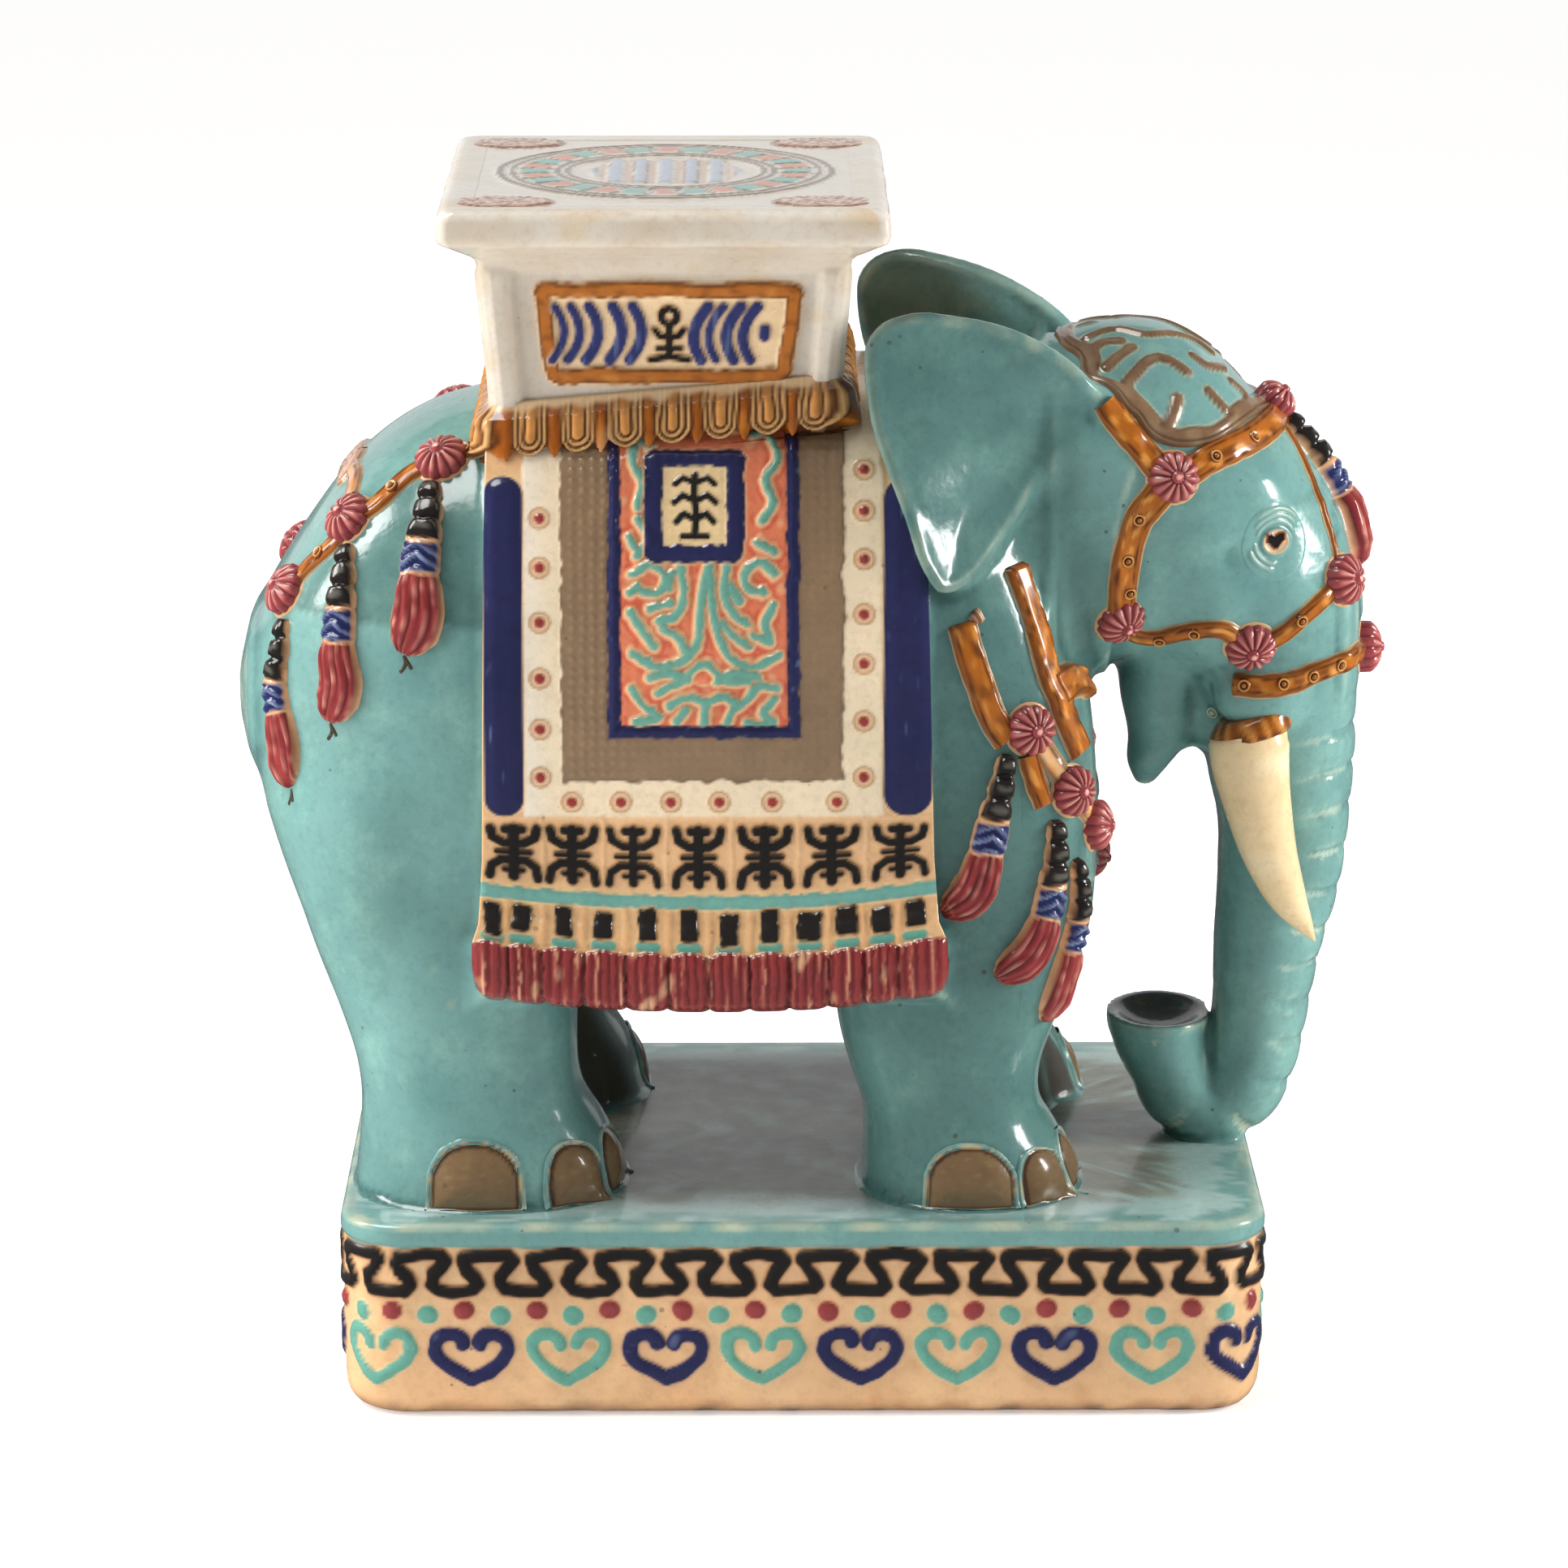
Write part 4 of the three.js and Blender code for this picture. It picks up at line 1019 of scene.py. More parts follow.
class ClothPaint(Relief):
    """The cloth's field, panel, borders and fringe, on a sheet of X and height along the cloth.
    `level` turns a height on the near side into one along the cloth."""

    def __init__(self, x, w, level):
        super().__init__(x, w, PEACH, 0.15)
        self.level = level
        self.wob, self.small, self.fine = ripple(x, w, 22, 11), ripple(x, w, 8, 12), ripple(x, w, 4.5, 19)
        # Edges drawn by hand follow these wavering places.
        self.x = x + 0.7 * self.wob + 0.35 * self.fine
        self.w = w + 0.5 * self.small + 0.3 * self.fine
        beads = np.array(CLOTH["beads"])
        self.bunches = np.concatenate([[-150], (beads[1:] + beads[:-1]) / 2, [70]])

    def inset(self, name):
        """How far inside a frame's two sides and lower edge each point lies."""
        low_x, high_x, low_z = CLOTH[name]
        return np.minimum(np.minimum(self.x - low_x, high_x - self.x), self.w - self.level(low_z))

    def field(self):
        """Cream bands round a brown field of small bumps."""
        self.patches(50, 13, 0.2, 1.2, 0.4, CREAM)
        self.patches(31, 20, 0.2, 1.3, 0.3, ink(212, 160, 108))
        low = self.level(CLOTH["border"] + 0.5)
        band = smooth(-126.5, -124.5, self.x) * smooth(36.5, 35, self.x) * smooth(low - 1, low + 1, self.w)
        self.tint(band, CREAM, 0.15)
        self.tint(band * smooth(-110, -126, self.a) * 0.6, WHITE)
        self.height += band * 0.5
        inset = self.inset("field")
        field = smooth(-0.6, 0.6, inset + 0.5 * self.small)
        self.tint(field, BROWN, 0.3)
        self.tint(field * smooth(1.6, 0.2, inset) * 0.5, ink(84, 62, 44))
        self.height += field * 0.55
        turn = 2 * math.pi / CLOTH["bump"]
        rows = np.cos((self.a + 0.5 * self.wob) * turn) + np.cos((self.b + 0.4 * self.small) * turn)
        clear = field * smooth(2, 4, inset) * (0.35 + 0.65 * smooth(-70, -92, self.a))
        bumps = smooth(0.1, 0.9, rows / 2) * clear
        self.height += bumps * 0.6
        self.tint(bumps * 0.16, ink(176, 146, 108))

    def strips(self):
        """Blue outer strips with round ends."""
        foot, head = (self.level(z) for z in CLOTH["strip"])
        for low, high in CLOTH["strips"]:
            half = (high - low) / 2
            ends = [(low + half, foot + half - 2), (low + half, head - half)]
            self.stroke(ends, half - 0.3, BLUE, 1.7, halo=ink(238, 200, 150), matt=0.02)
            # Pale streaks on the blue: worn glaze, and painted sheen.
            d = distance(self.a, self.b, ends, half + 2)
            self.patches(9, 14, 0.9, 1.6, smooth(half, half - 2, d) * 0.55, BLUE_PALE, (2, 0.4))

    def panel(self):
        """The coral panel with its scrolls, in a blue frame."""
        low_x, high_x, low_z = CLOTH["frame"]
        half = CLOTH["line"]
        inside = self.inset("frame")
        coral = smooth(2 * half - 0.4, 2 * half + 0.4, inside)
        self.tint(coral, CORAL, 0.1)
        self.height += coral * 0.5
        px, pw = self.x - (low_x + high_x) / 2, self.w - self.level(low_z) - 2 * half
        strokes = np.full(self.a.shape, 1e3)
        for line in PANEL_SCROLLS:
            drawn = curve(line, 14) if len(line) > 2 else line
            strokes = np.minimum(strokes, distance(px, pw, drawn, 9))
        strokes = strokes + 0.2 * self.fine
        self.patches(13, 15, -0.6, 0.5, coral * line_at(strokes, 4.6, 1.3, 0.3) * 0.75, CORAL_RED)
        self.patches(10, 53, 0.5, 1.3, coral * smooth(3.0, 4.4, strokes) * 0.6, ink(240, 186, 140))
        self.tint(coral * smooth(3.9, 2.7, strokes) * 0.8, ink(238, 190, 140))
        self.tint(coral * smooth(2.4, 1.5, strokes), ink(104, 158, 142), 0.03)
        self.height += coral * 1.9 * smooth(3.4, 0.6, strokes)
        d = np.hypot((px - PANEL_BOSS[0]) / 1.2, pw - PANEL_BOSS[1])
        self.ridge(d, 3.2, CORAL, 1.3, halo=ink(238, 206, 150))
        line = smooth(-0.5, 0.5, inside) * smooth(2 * half + 0.5, 2 * half - 0.5, inside)
        self.tint(line, BLUE, 0.02)
        # Pale patches on the blue frame are painted highlights.
        self.patches(9, 16, 0.8, 1.6, line * 0.55, BLUE_PALE)
        self.height += 1.5 * smooth(0, half, inside) * smooth(2 * half, half, inside)

    def square(self):
        """The small square with its sprig, in a frame of its own."""
        x0, x1, z0, z1 = CLOTH["square"]
        w0, w1 = self.level(z0), self.level(z1)
        cx, cw = (x0 + x1) / 2, (w0 + w1) / 2
        square = rounded_box(self.x - cx, self.w - cw, (x1 - x0) / 2, (w1 - w0) / 2, 5)
        self.tint(smooth(1.6, 0.3, square) * 0.7, ink(238, 196, 150))
        self.tint(smooth(0.4, -0.4, square), BLUE, 0.02)
        self.height += 1.4 * smooth(0.5, -3, square)
        self.tint(smooth(-7.6, -8.4, square), ink(238, 208, 158), 0.1)
        self.height -= 1.5 * smooth(-6.2, -8.6, square)
        self.marks([(half, np.array(line) * 0.92 + [cx, cw]) for half, line in SPRIG], BLACK, 0.9)

    def dots(self):
        """Red dots, each in an ochre ring."""
        for dx, dz in CLOTH["dots"]:
            d = np.hypot(self.a - dx, self.b - self.level(dz))
            d = np.where(d < 8, d, 99)
            self.tint(line_at(d, 4.4, 1.0, 0.4) * 0.65, OCHRE)
            self.tint(smooth(4.6, 3.6, d) * 0.7, ink(240, 196, 150))
            self.ridge(d, 2.5, ink(150, 56, 52), 1.3)
            self.height += 0.5 * line_at(d, 4.4, 1.0, 0.2)

    def figures(self):
        """The border of black figures, each a little different, with a groove between each two."""
        low = smooth(self.level(CLOTH["border"] + 1.5), self.level(CLOTH["border"] - 0.5), self.b)
        self.tint(low, PEACH, 0.15)
        self.height += 0.5 * line_at(self.b, self.level(CLOTH["border"]), 0.9, 0.2)
        for fx in CLOTH["figures"]:
            place = np.array([fx, self.level(CLOTH["figure_z"])])
            stretch, swell = [1 + 0.04 * math.cos(fx), 1], 1 + 0.1 * math.sin(fx)
            figure = [(half * swell, np.array(line) * stretch + place) for half, line in FIGURE]
            self.marks(figure, BLACK, 1.5, halo=ink(200, 152, 104), matt=0.25)
        above = low * smooth(self.level(246), self.level(250), self.b)
        for left, right in zip(CLOTH["figures"][:-1], CLOTH["figures"][1:]):
            self.height += 0.6 * line_at(self.x, (left + right) / 2, 1.6, 0.2) * above

    def beads(self):
        """The turquoise line, the black beads below it, and a small foot under each."""
        piping = self.level(CLOTH["piping"])
        self.tint(line_at(self.w, piping, 4.6, 3.4) * 0.8, ink(236, 206, 150))
        self.tint(line_at(self.w, piping, 3.6, 2.7), ink(108, 162, 152), 0.02)
        self.height += 1.4 * line_at(self.w, piping, 3.9, 0.6)
        foot = self.level(221.6)
        for bx in CLOTH["beads"]:
            wide, tall = 5.0 + 0.8 * math.sin(bx), 7.0 + 0.9 * math.cos(bx * 1.7)
            middle = self.level(CLOTH["bead_z"] + math.sin(bx * 2.3))
            d = rounded_box(self.x - bx, self.w - middle, wide, tall, 2) + 3.0
            self.stroke([(bx - 3.8, foot), (bx + 3.8, foot)], 2.0, SCROLL, 0.9, halo=ink(226, 190, 140))
            self.ridge(np.where(d < 12, d, 99), 3.0, BLACK, 1.7, halo=ink(206, 160, 108))
        below = smooth(self.level(239), self.level(236), self.b)
        for edge in self.bunches[1:-1]:
            groove = line_at(self.x, edge, 2.2, 0.4) * below
            self.height += 0.8 * groove
            self.tint(groove * 0.35, ink(206, 146, 90))

    def fringe(self):
        """Bulging bunches with grooves between and finer ones along them. Gives how far across its
        bunch each point stands, from -1 to 1."""
        k = np.searchsorted(self.bunches, self.x.ravel()).reshape(self.a.shape)
        k = np.clip(k, 1, len(self.bunches) - 1)
        left, right = self.bunches[k - 1], self.bunches[k]
        t = (self.x - left) / (right - left)
        across = 2 * t - 1
        arch = self.level(CLOTH["fringe"]) - 2.2 * across ** 2 + 0.3 * self.small
        fringe = smooth(arch + 0.4, arch - 0.4, self.b)
        groove = smooth(0.9, 0.1, np.abs((t + 0.5) % 1 - 0.5) * (right - left))
        self.tint(fringe, ink(136, 52, 52), 0.05)
        self.height += fringe * 2.6 * np.sqrt(np.clip(1 - across ** 4, 0, 1))
        self.height -= fringe * 1.4 * groove
        pitch = 3.4 + 1.4 * np.sin(k * 1.7) ** 2
        strands = np.cos((self.x + 1.3 * np.sin(k * 2.4)) * 2 * math.pi / pitch)
        self.height += fringe * 0.6 * strands
        worn = smooth(0.4, 0.95, strands) * smooth(-0.1, 1.1, ripple(self.x * 3.0, self.b * 0.5, 20, 18))
        self.tint(fringe * worn * 0.85, ink(226, 170, 134))
        bare = smooth(0.7, 1.3, ripple(self.x, self.b * 0.6, 12, 28))
        bare = bare + smooth(0.9, 1.0, np.abs(across)) * smooth(0, 1, self.wob)
        self.tint(fringe * bare * 0.6, ink(232, 186, 142))
        self.tint(fringe * smooth(-0.5, -1.0, strands) * 0.45, MAROON_DARK)
        self.tint(fringe * groove * 0.7, MAROON_DARK)
        return 2 * np.clip(t, 0, 1) - 1

    def paint(self):
        self.field()
        self.strips()
        self.panel()
        self.square()
        self.dots()
        self.figures()
        self.beads()
        return self.fringe()


def cloth_section(step):
    """The cloth's section from the ridge of the back to the hem and under it, and its outward ways.
    Its first rows, hidden under the seat, stand further apart."""
    half = curve(CLOTH_HALF, 900)
    arc = running(half)
    hidden = 72.0
    rows = np.concatenate([np.arange(0, hidden, 6), np.arange(hidden, arc[-1], step), arc[-1:]])
    half = np.stack([np.interp(rows, arc, half[:, k]) for k in (0, 1)], 1)
    half = np.vstack([half, [[121.0, 189.6], [117, 189.2], [108, 189.4], [96, 190]]])
    way = np.gradient(half, axis=0)
    return half, unit(np.stack([-way[:, 1], way[:, 0]], 1))


def cloth_sheet(piece, step, side):
    """One half of the cloth, on the side where Y is `side` times the near side's."""
    half, way = cloth_section(step)
    z = half[:, 1]
    down = running(half)
    hem = np.interp(-190.8, -z[:-4], down[:-4])

    def level(height):
        return hem - np.interp(-np.asarray(height, float), -z[:-4], down[:-4])

    length = 208
    count = int(length / step)
    t = np.concatenate([[0, 0], np.linspace(0, 1, count), [1, 1]])
    sink = np.concatenate([[7, 1.2], np.zeros(count), [1.2, 7]])
    tail, head = np.interp(z, CLOTH_Z, CLOTH_TAIL), np.interp(z, CLOTH_Z, CLOTH_HEAD)
    x = tail[None, :] + (head - tail)[None, :] * t[:, None]
    relief = ClothPaint(x, np.broadcast_to((hem - down)[None, :], x.shape), level)
    across = relief.paint()
    # The relief fades at the ends and the hem, and the fringe is plump with round corners.
    ends = smooth(0, 2.5, np.minimum(t * length, (1 - t) * length))[:, None]
    low = np.sqrt(smooth(189.8, 199, z))[None, :]
    corner = 1 - np.sqrt(1 - np.clip(1 - np.minimum(x - tail, head - x) / 9, 0, 1) ** 2)
    turned = smooth(226, 214, z)[None, :]
    plump = 2.2 * np.sqrt(np.clip(1 - ((z - 204) / 15) ** 2, 0, 1))[None, :] * turned
    height = (relief.height + plump) * ends * low * (1 - turned * corner) - sink[:, None]
    height[:, -3:] = 0
    out_y = -half[None, :, 0] - way[None, :, 0] * height
    out_z = z[None, :] + way[None, :, 1] * height + hem_lift(x) * smooth(290, 240, z)[None, :]
    out_z = out_z + 1.6 * np.abs(across) ** 5 * smooth(204, 190, z)[None, :]
    out_z = out_z + 9 * corner * smooth(212, 190, z)[None, :]
    points = np.stack([x, out_y, out_z], -1) * [1, side, 1]
    out = np.stack([0 * z, -way[:, 0] * side, way[:, 1]], -1)[None]
    piece.grid(points, relief.colour, relief.matt, np.broadcast_to(out, points.shape))


def build_cloth():
    for name, step, side in (("cloth_near", 0.98, 1), ("cloth_far", 2.2, -1)):
        piece = Piece()
        cloth_sheet(piece, step, side)
        piece.build(name, PAINTED, "buff_glaze")


# The seat's slab and the pedestal under it: middle, heights and half-sizes.
SEAT = {"x": -62, "half_x": 100.5, "half_y": 110, "top": 552.3}
PEDESTAL = {"top": 526, "foot": 440, "half_x": 83.5, "half_y": 88, "foot_x": 76, "foot_y": 80}
# The frame on a side of the pedestal, wider at its upper edge.
PANEL_FRAME = {"low": 470, "high": 516.5, "middle": 2, "half_high": 61, "half_low": 54, "border": 7}
# Curved bars: where they stand, which way they bulge, and half their width.
BARS = [
    (-47.0, 1, 1.9), (-40.0, 1, 2.2), (-31.8, 1, 2.6), (-21.3, 1, 2.7), (-12.4, 1, 2.6),
    (15.6, -1, 2.7), (22.4, -1, 2.0), (30.2, -1, 2.7), (37.6, -1, 2.5),
]
BAR = [(-2.2, 12), (0.8, 7), (2.4, 0), (0.8, -7), (-2.6, -12.4)]
# The mark between the bars, as half-widths and lines.
BUD = [
    (1.5, [(0, 3.4), (0, -11)]), (1.5, [(0, -2.6), (-4.4, -1.4), (-6.4, 1.4)]),
    (1.5, [(0, -2.6), (4.4, -1.4), (6.4, 1.4)]), (1.6, [(-8.4, -12.4), (0, -11.0), (8.4, -12.4)]),
    (1.4, [(-5.0, -7.4), (5.0, -7.4)]),
]


def paint_side(r, outer):
    """A pedestal side in flat coordinates: posts, frame, curved bars and a small flower mark."""
    a, z = r.a, r.b
    wob, small, fine = ripple(a, z, 24, 21), ripple(a, z, 7, 22), ripple(a, z, 4.5, 29)
    half_post = 6.5
    post = outer - half_post
    r.height -= 3.4 * smooth(post - 4, post - 9, np.abs(a))
    d = np.abs(np.abs(a) - post)
    r.height += 1.2 * np.sqrt(np.clip(1 - (d / half_post) ** 2, 0, 1))
    f = PANEL_FRAME
    aa, zz = a - f["middle"] + 0.7 * wob + 0.3 * fine, z + 0.8 * wob + 0.3 * small
    # How far inside the frame a point lies: past its sides, past its edges, and round its corners.
    side = np.interp(zz, [f["low"], f["high"]], [f["half_low"], f["half_high"]]) - np.abs(aa)
    edge = np.minimum(zz - f["low"], f["high"] - zz)
    corner = 6 - np.hypot(6 - side, 6 - edge)
    inside = np.where(np.maximum(side, edge) < 6, corner, np.minimum(side, edge))
    r.tint(smooth(-2.4, -0.4, inside) * 0.6, ink(236, 196, 150))
    border = smooth(-0.5, 0.4, inside)
    r.tint(border, ink(176, 104, 40), 0.0)
    r.tint(border * line_at(inside, 0.5, 1.3, 0.2) * 0.75, OCHRE_DARK)
    r.patches(12, 23, 0.0, 1.2, border * 0.55, ink(104, 52, 18), (1, 2))
    r.patches(16, 38, 0.3, 1.3, border * 0.5, ink(214, 140, 60), (1, 2))
    r.height += 2.4 * smooth(-0.6, 1.2, inside)
    wide = f["border"]
    bed = smooth(wide - 0.5, wide + 0.5, inside)
    r.tint(smooth(wide - 1.5, wide - 0.6, inside) * (1 - bed) * 0.7, OCHRE_DARK)
    r.tint(bed, ink(240, 208, 164), 0.2)
    r.height -= 2.2 * smooth(wide - 1.2, wide + 0.8, inside)
    middle = (f["low"] + f["high"]) / 2
    bars = []
    for at, turn, half in BARS:
        lean = 0.16 if turn < 0 else 0.05
        line = curve(np.array(BAR) * [turn, 1], 10)
        bars.append((half, line + np.stack([at + line[:, 1] * lean, 0 * line[:, 1] + middle], 1)))
    bars.append((2.6, [(44.6, middle - 1.5), (44.9, middle + 1.5)]))
    r.marks(bars, ink(46, 52, 104), 1.6, halo=ink(214, 178, 140))
    # Pale streaks where the bars' blue lies.
    blue = (r.colour[..., 2] < 0.16) & (r.colour[..., 2] > r.colour[..., 0] * 1.3)
    r.patches(9, 24, 0.3, 1.3, blue * 0.5, BLUE_PALE, (2.2, 0.4))
    spot = np.array([2.2, middle])
    ring = [(3.6 * math.cos(t), 7.6 + 3.6 * math.sin(t)) for t in np.linspace(0, 2 * math.pi, 17)]
    bud = [(half, np.array(line) + spot) for half, line in BUD + [(1.6, ring)]]
    r.marks(bud, BLACK, 1.3, halo=ink(206, 160, 110))


def seat_rows():
    """Heights and half-sizes of the pedestal and the slab, from the foot up."""
    p = PEDESTAL
    z = np.arange(444, 524.5, 1.34)
    rise = (z - p["foot"]) / (p["top"] - p["foot"])
    sides = [p[f"foot_{k}"] + (p[f"half_{k}"] - p[f"foot_{k}"]) * rise for k in "xy"]
    # The cove under the slab and its rounded edge, as heights and insets from the slab's sides.
    cove = [
        (524.6, 17.0, 22.0), (526.5, 16.6, 21.5), (528.6, 14.6, 18.8), (530.8, 11.0, 14.2),
        (532.6, 8.0, 10.4), (534.6, 5.0, 6.4), (535.8, 3.0, 3.4), (536.9, 1.4, 1.4),
    ]
    lip = [
        (538.4, 0.4), (541, 0), (544, 0), (547.4, 0.2), (549.4, 0.8), (551.2, 2.0), (552.4, 3.6),
        (552.9, 5.6), (552.9, 8.5), (552.4, 16),
    ]
    above = np.array(cove + [(z, inset, inset) for z, inset in lip]) * [1, -1, -1]
    above = above + [0, SEAT["half_x"], SEAT["half_y"]]
    return np.vstack([np.stack([z, *sides], 1), above]).T


def paint_seat_top(r):
    """A roundel and four corner marks in low relief."""
    a, b = r.a, r.b
    r.patches(60, 31, 0.1, 1.4, 0.35, ink(238, 230, 216))
    d = np.hypot(a, b) + 0.5 * ripple(a, b, 30, 32)
    brown = ink(112, 84, 66)
    ring = smooth(51, 53, d) * smooth(69, 67, d)
    petals = np.cos(np.arctan2(b, a) * 14) + 0.25 * ripple(a, b, 8, 34)
    mark = ring * line_at(d, 60, 7.5, 5.5)
    r.tint(ring * 0.35, ink(206, 214, 204))
    r.height += ring * 1.0 * smooth(-0.2, 0.6, np.abs(petals))
    r.tint(mark * smooth(0.3, 0.55, petals), ink(128, 188, 176))
    r.tint(mark * smooth(-0.4, -0.7, petals), ink(222, 142, 112))
    r.tint(ring * line_at(np.abs(petals), 0.25, 0.22, 0.08) * 0.7, brown)
    bars = np.cos((a + 0.5 * ripple(a, b, 12, 35)) * 2 * math.pi / 11.5)
    core = smooth(44.5, 43, d) * smooth(36, 34, np.abs(a) + np.abs(b) * 0.25) * smooth(34, 32, np.abs(b))
    r.height += core * 1.2 * smooth(-0.3, 0.4, bars)
    r.tint(core * smooth(-0.1, 0.3, bars) * 0.85, ink(176, 192, 212))
    r.tint(core * line_at(bars, -0.1, 0.35, 0.1) * 0.75, ink(150, 112, 84))
    r.tint(core * smooth(-0.5, -0.9, bars) * 0.6, ink(226, 176, 140))
    for radius, half in ((76, 1.5), (70.5, 1.2), (49.5, 1.4), (45, 1.1)):
        r.tint(line_at(d, radius, half + 0.5, half - 0.4) * 0.85, brown)
        r.height += 1.0 * line_at(d, radius, half + 1.6, half * 0.5)
    for sx, sy in ((-1, -1), (-1, 1), (1, -1), (1, 1)):
        u, v = a * sx - 72, b * sy - 84
        q = np.hypot(u / 23, v / 14) + 0.06 * ripple(u, v, 12, 36)
        mark = smooth(1.03, 0.93, q)
        wave = np.abs(ripple(u, v, 8, 33))
        r.tint(mark * 0.45, ink(226, 170, 140))
        r.tint(mark * smooth(0.35, 0.1, wave) * 0.85, ink(146, 84, 60))
        r.tint(line_at(q, 0.98, 0.11, 0.04) * 0.8, ink(150, 92, 68))
        r.height += mark * 0.6 + mark * 0.5 * smooth(0.1, 0.6, wave)


def build_seat():
    z, half_x, half_y = seat_rows()
    rings = [rounded(hx, hy, 5.5, 136, 92, 7, 92)[0] for hx, hy in zip(half_x, half_y)]
    ways = rounded(half_x[0], half_y[0], 5.5, 136, 92, 7, 92)[1][:, None, :]
    grid = np.stack(rings, 1)
    # Flat coordinates: along the side that a point stands on, or past its end round a corner.
    on_x, on_y = np.abs(ways[..., 1]) > 0.999, np.abs(ways[..., 0]) > 0.999
    flat = np.where(on_x, grid[..., 0] * np.sign(-ways[..., 1]), grid[..., 1] * np.sign(ways[..., 0]))
    outer = np.where(on_x, half_x[None], half_y[None])
    r = Relief(np.where(on_x | on_y, flat, outer), z[None], WHITE, 0.05)
    warm = ripple(r.a, r.b * 2, 60, 25)
    r.tint(smooth(-0.2, 1.4, warm) * 0.5, ink(230, 206, 172))
    r.patches(36, 26, 0.5, 1.4, 0.45, ink(226, 194, 140), (1, 2.5))
    edge = smooth(534, 537, r.b)
    r.patches(44, 30, 0.2, 1.2, edge * 0.6, ink(226, 192, 136), (1, 2))
    r.patches(15, 37, 0.5, 1.4, edge * 0.35, ink(206, 166, 118), (1, 3))
    # Painted shade: the cove under the slab and the sides below the top's edge are darkened.
    r.tint(smooth(538, 531, r.b) * smooth(516, 524, r.b) * 0.35, ink(206, 190, 168))
    r.tint(smooth(551, 547, r.b) * (0.5 + 0.1 * warm), ink(178, 164, 146))
    paint_side(r, outer)
    r.height *= smooth(524, 520, z)[None, :]
    r.height += 0.25 * ripple(r.a, r.b, 40, 27)
    r.tint(smooth(458, 447, r.b) * 0.6, ink(238, 206, 160))
    xy = grid + ways * r.height[..., None] + [SEAT["x"], 0]
    piece = Piece()
    piece.grid(np.concatenate([xy, r.b[..., None]], -1), r.colour, r.matt, wrap=True)
    piece.build("seat", SEAT_GLAZE, "white_glaze")


def build_seat_top():
    half_x, half_y = SEAT["half_x"] - 7, SEAT["half_y"] - 7
    sides = np.linspace(-half_x, half_x, 122), np.linspace(-half_y, half_y, 134)
    r = Relief(*np.meshgrid(*sides, indexing="ij"), WHITE, 0.05)
    paint_seat_top(r)
    edge = np.minimum(half_x - np.abs(r.a), half_y - np.abs(r.b))
    height = np.minimum(r.height * smooth(0, 4, edge) - 0.8 * smooth(1.5, 0, edge), 1.2)
    points = np.stack([r.a + SEAT["x"], r.b, SEAT["top"] + height], -1)
    piece = Piece()
    piece.grid(points, r.colour, r.matt, out=np.broadcast_to([0.0, 0.0, 1.0], points.shape))
    piece.build("seat_top", SEAT_GLAZE, "white_glaze")


# The frill of lappets round the foot of the pedestal. `slope` tilts it with the back.
FRILL = {"top": 464.5, "drop": 21, "slope": 0.09, "out": 6.5, "lean": 4, "pitch": 21.4, "tongue": 8.0}


def build_frill():
    """Lappets round the foot of the pedestal: ridged tongues over a row of points."""
    f = FRILL
    points, ways, run, total = rounded(PEDESTAL["foot_x"], PEDESTAL["foot_y"], 4, 134, 134, 8)
    pitch = total / round(total / f["pitch"])
    low = f["drop"] + 2
    drop = np.linspace(-3, low, 34)
    off = np.interp(drop, [-3, 0, 3, low], [1.5, f["out"] - 2.5, f["out"], f["out"] + f["lean"]])
    off = np.concatenate([[-6], off, [f["out"] + 1, -2]])
    drop = np.concatenate([[-3.2], drop, [low, low]])
    r = Relief(run[:, None], drop[None, :], ink(150, 84, 24), 0.02)
    a, b = r.a, r.b
    wob = ripple(a, b, 15, 41)
    u = (a + 0.6 * wob - 3.8 + pitch / 2) % pitch - pitch / 2
    # The tongue's edge, and the points that show between the tongues.
    d = distance(u, b, [(0, -8), (0, f["drop"] - f["tongue"] - 0.8)], 14)
    v = np.abs(np.abs(u) - pitch / 2)
    shape = np.minimum(d - f["tongue"], b - (f["drop"] + 1.0) + v * 1.5)
    r.patches(10, 42, 0, 1.2, 0.5, ink(116, 60, 20))
    r.patches(18, 43, 0.2, 1.4, 0.45, ink(214, 140, 58))
    tongue = smooth(f["tongue"] + 0.5, f["tongue"] - 0.6, d)
    r.height += 2.8 * tongue
    r.tint(tongue * 0.45, ink(206, 150, 88))
    r.tint((1 - tongue) * 0.7, ink(150, 78, 20))
    drip = smooth(4.2, 0.6, v) * (1 - tongue)
    r.height += 2.6 * drip
    r.tint(drip * smooth(0, 1.0, wob) * 0.6, ink(206, 128, 44))
    r.tint(line_at(d, f["tongue"], 1.0, 0.2) * 0.9, ink(70, 36, 16))
    for radius, deep in ((5.7, 1.5), (2.9, 1.4)):
        r.height -= deep * line_at(d, radius, 1.2, 0.2)
        r.tint(line_at(d, radius, 0.9, 0.25) * 0.9, ink(74, 38, 16))
        r.tint(line_at(d, radius + 1.1, 0.8, 0.2) * 0.65, ink(232, 186, 126))
    r.tint(smooth(2.6, 1.6, d) * 0.4, ink(206, 142, 74))
    r.height += 0.9 * smooth(2.4, 0.6, d)
    r.height -= 9 * smooth(-0.3, 0.9, shape)
    r.height *= smooth(-2.0, 6.0, b)
    r.tint(smooth(1.2, -1.6, b + 1.4 * wob) * 0.8, ink(236, 204, 160))
    r.patches(30, 44, 0.6, 1.5, 0.5, ink(228, 184, 140))
    r.height[:, [0, -2, -1]] = 0
    xy = points[:, None, :] + ways[:, None, :] * np.maximum(off + r.height, -5)[..., None]
    z = f["top"] - drop[None, :] + xy[..., 0] * f["slope"]
    piece = Piece()
    piece.grid(np.dstack([xy + [SEAT["x"], 0], z]), r.colour, r.matt, wrap=True)
    piece.build("frill", PAINTED, "ochre_glaze")


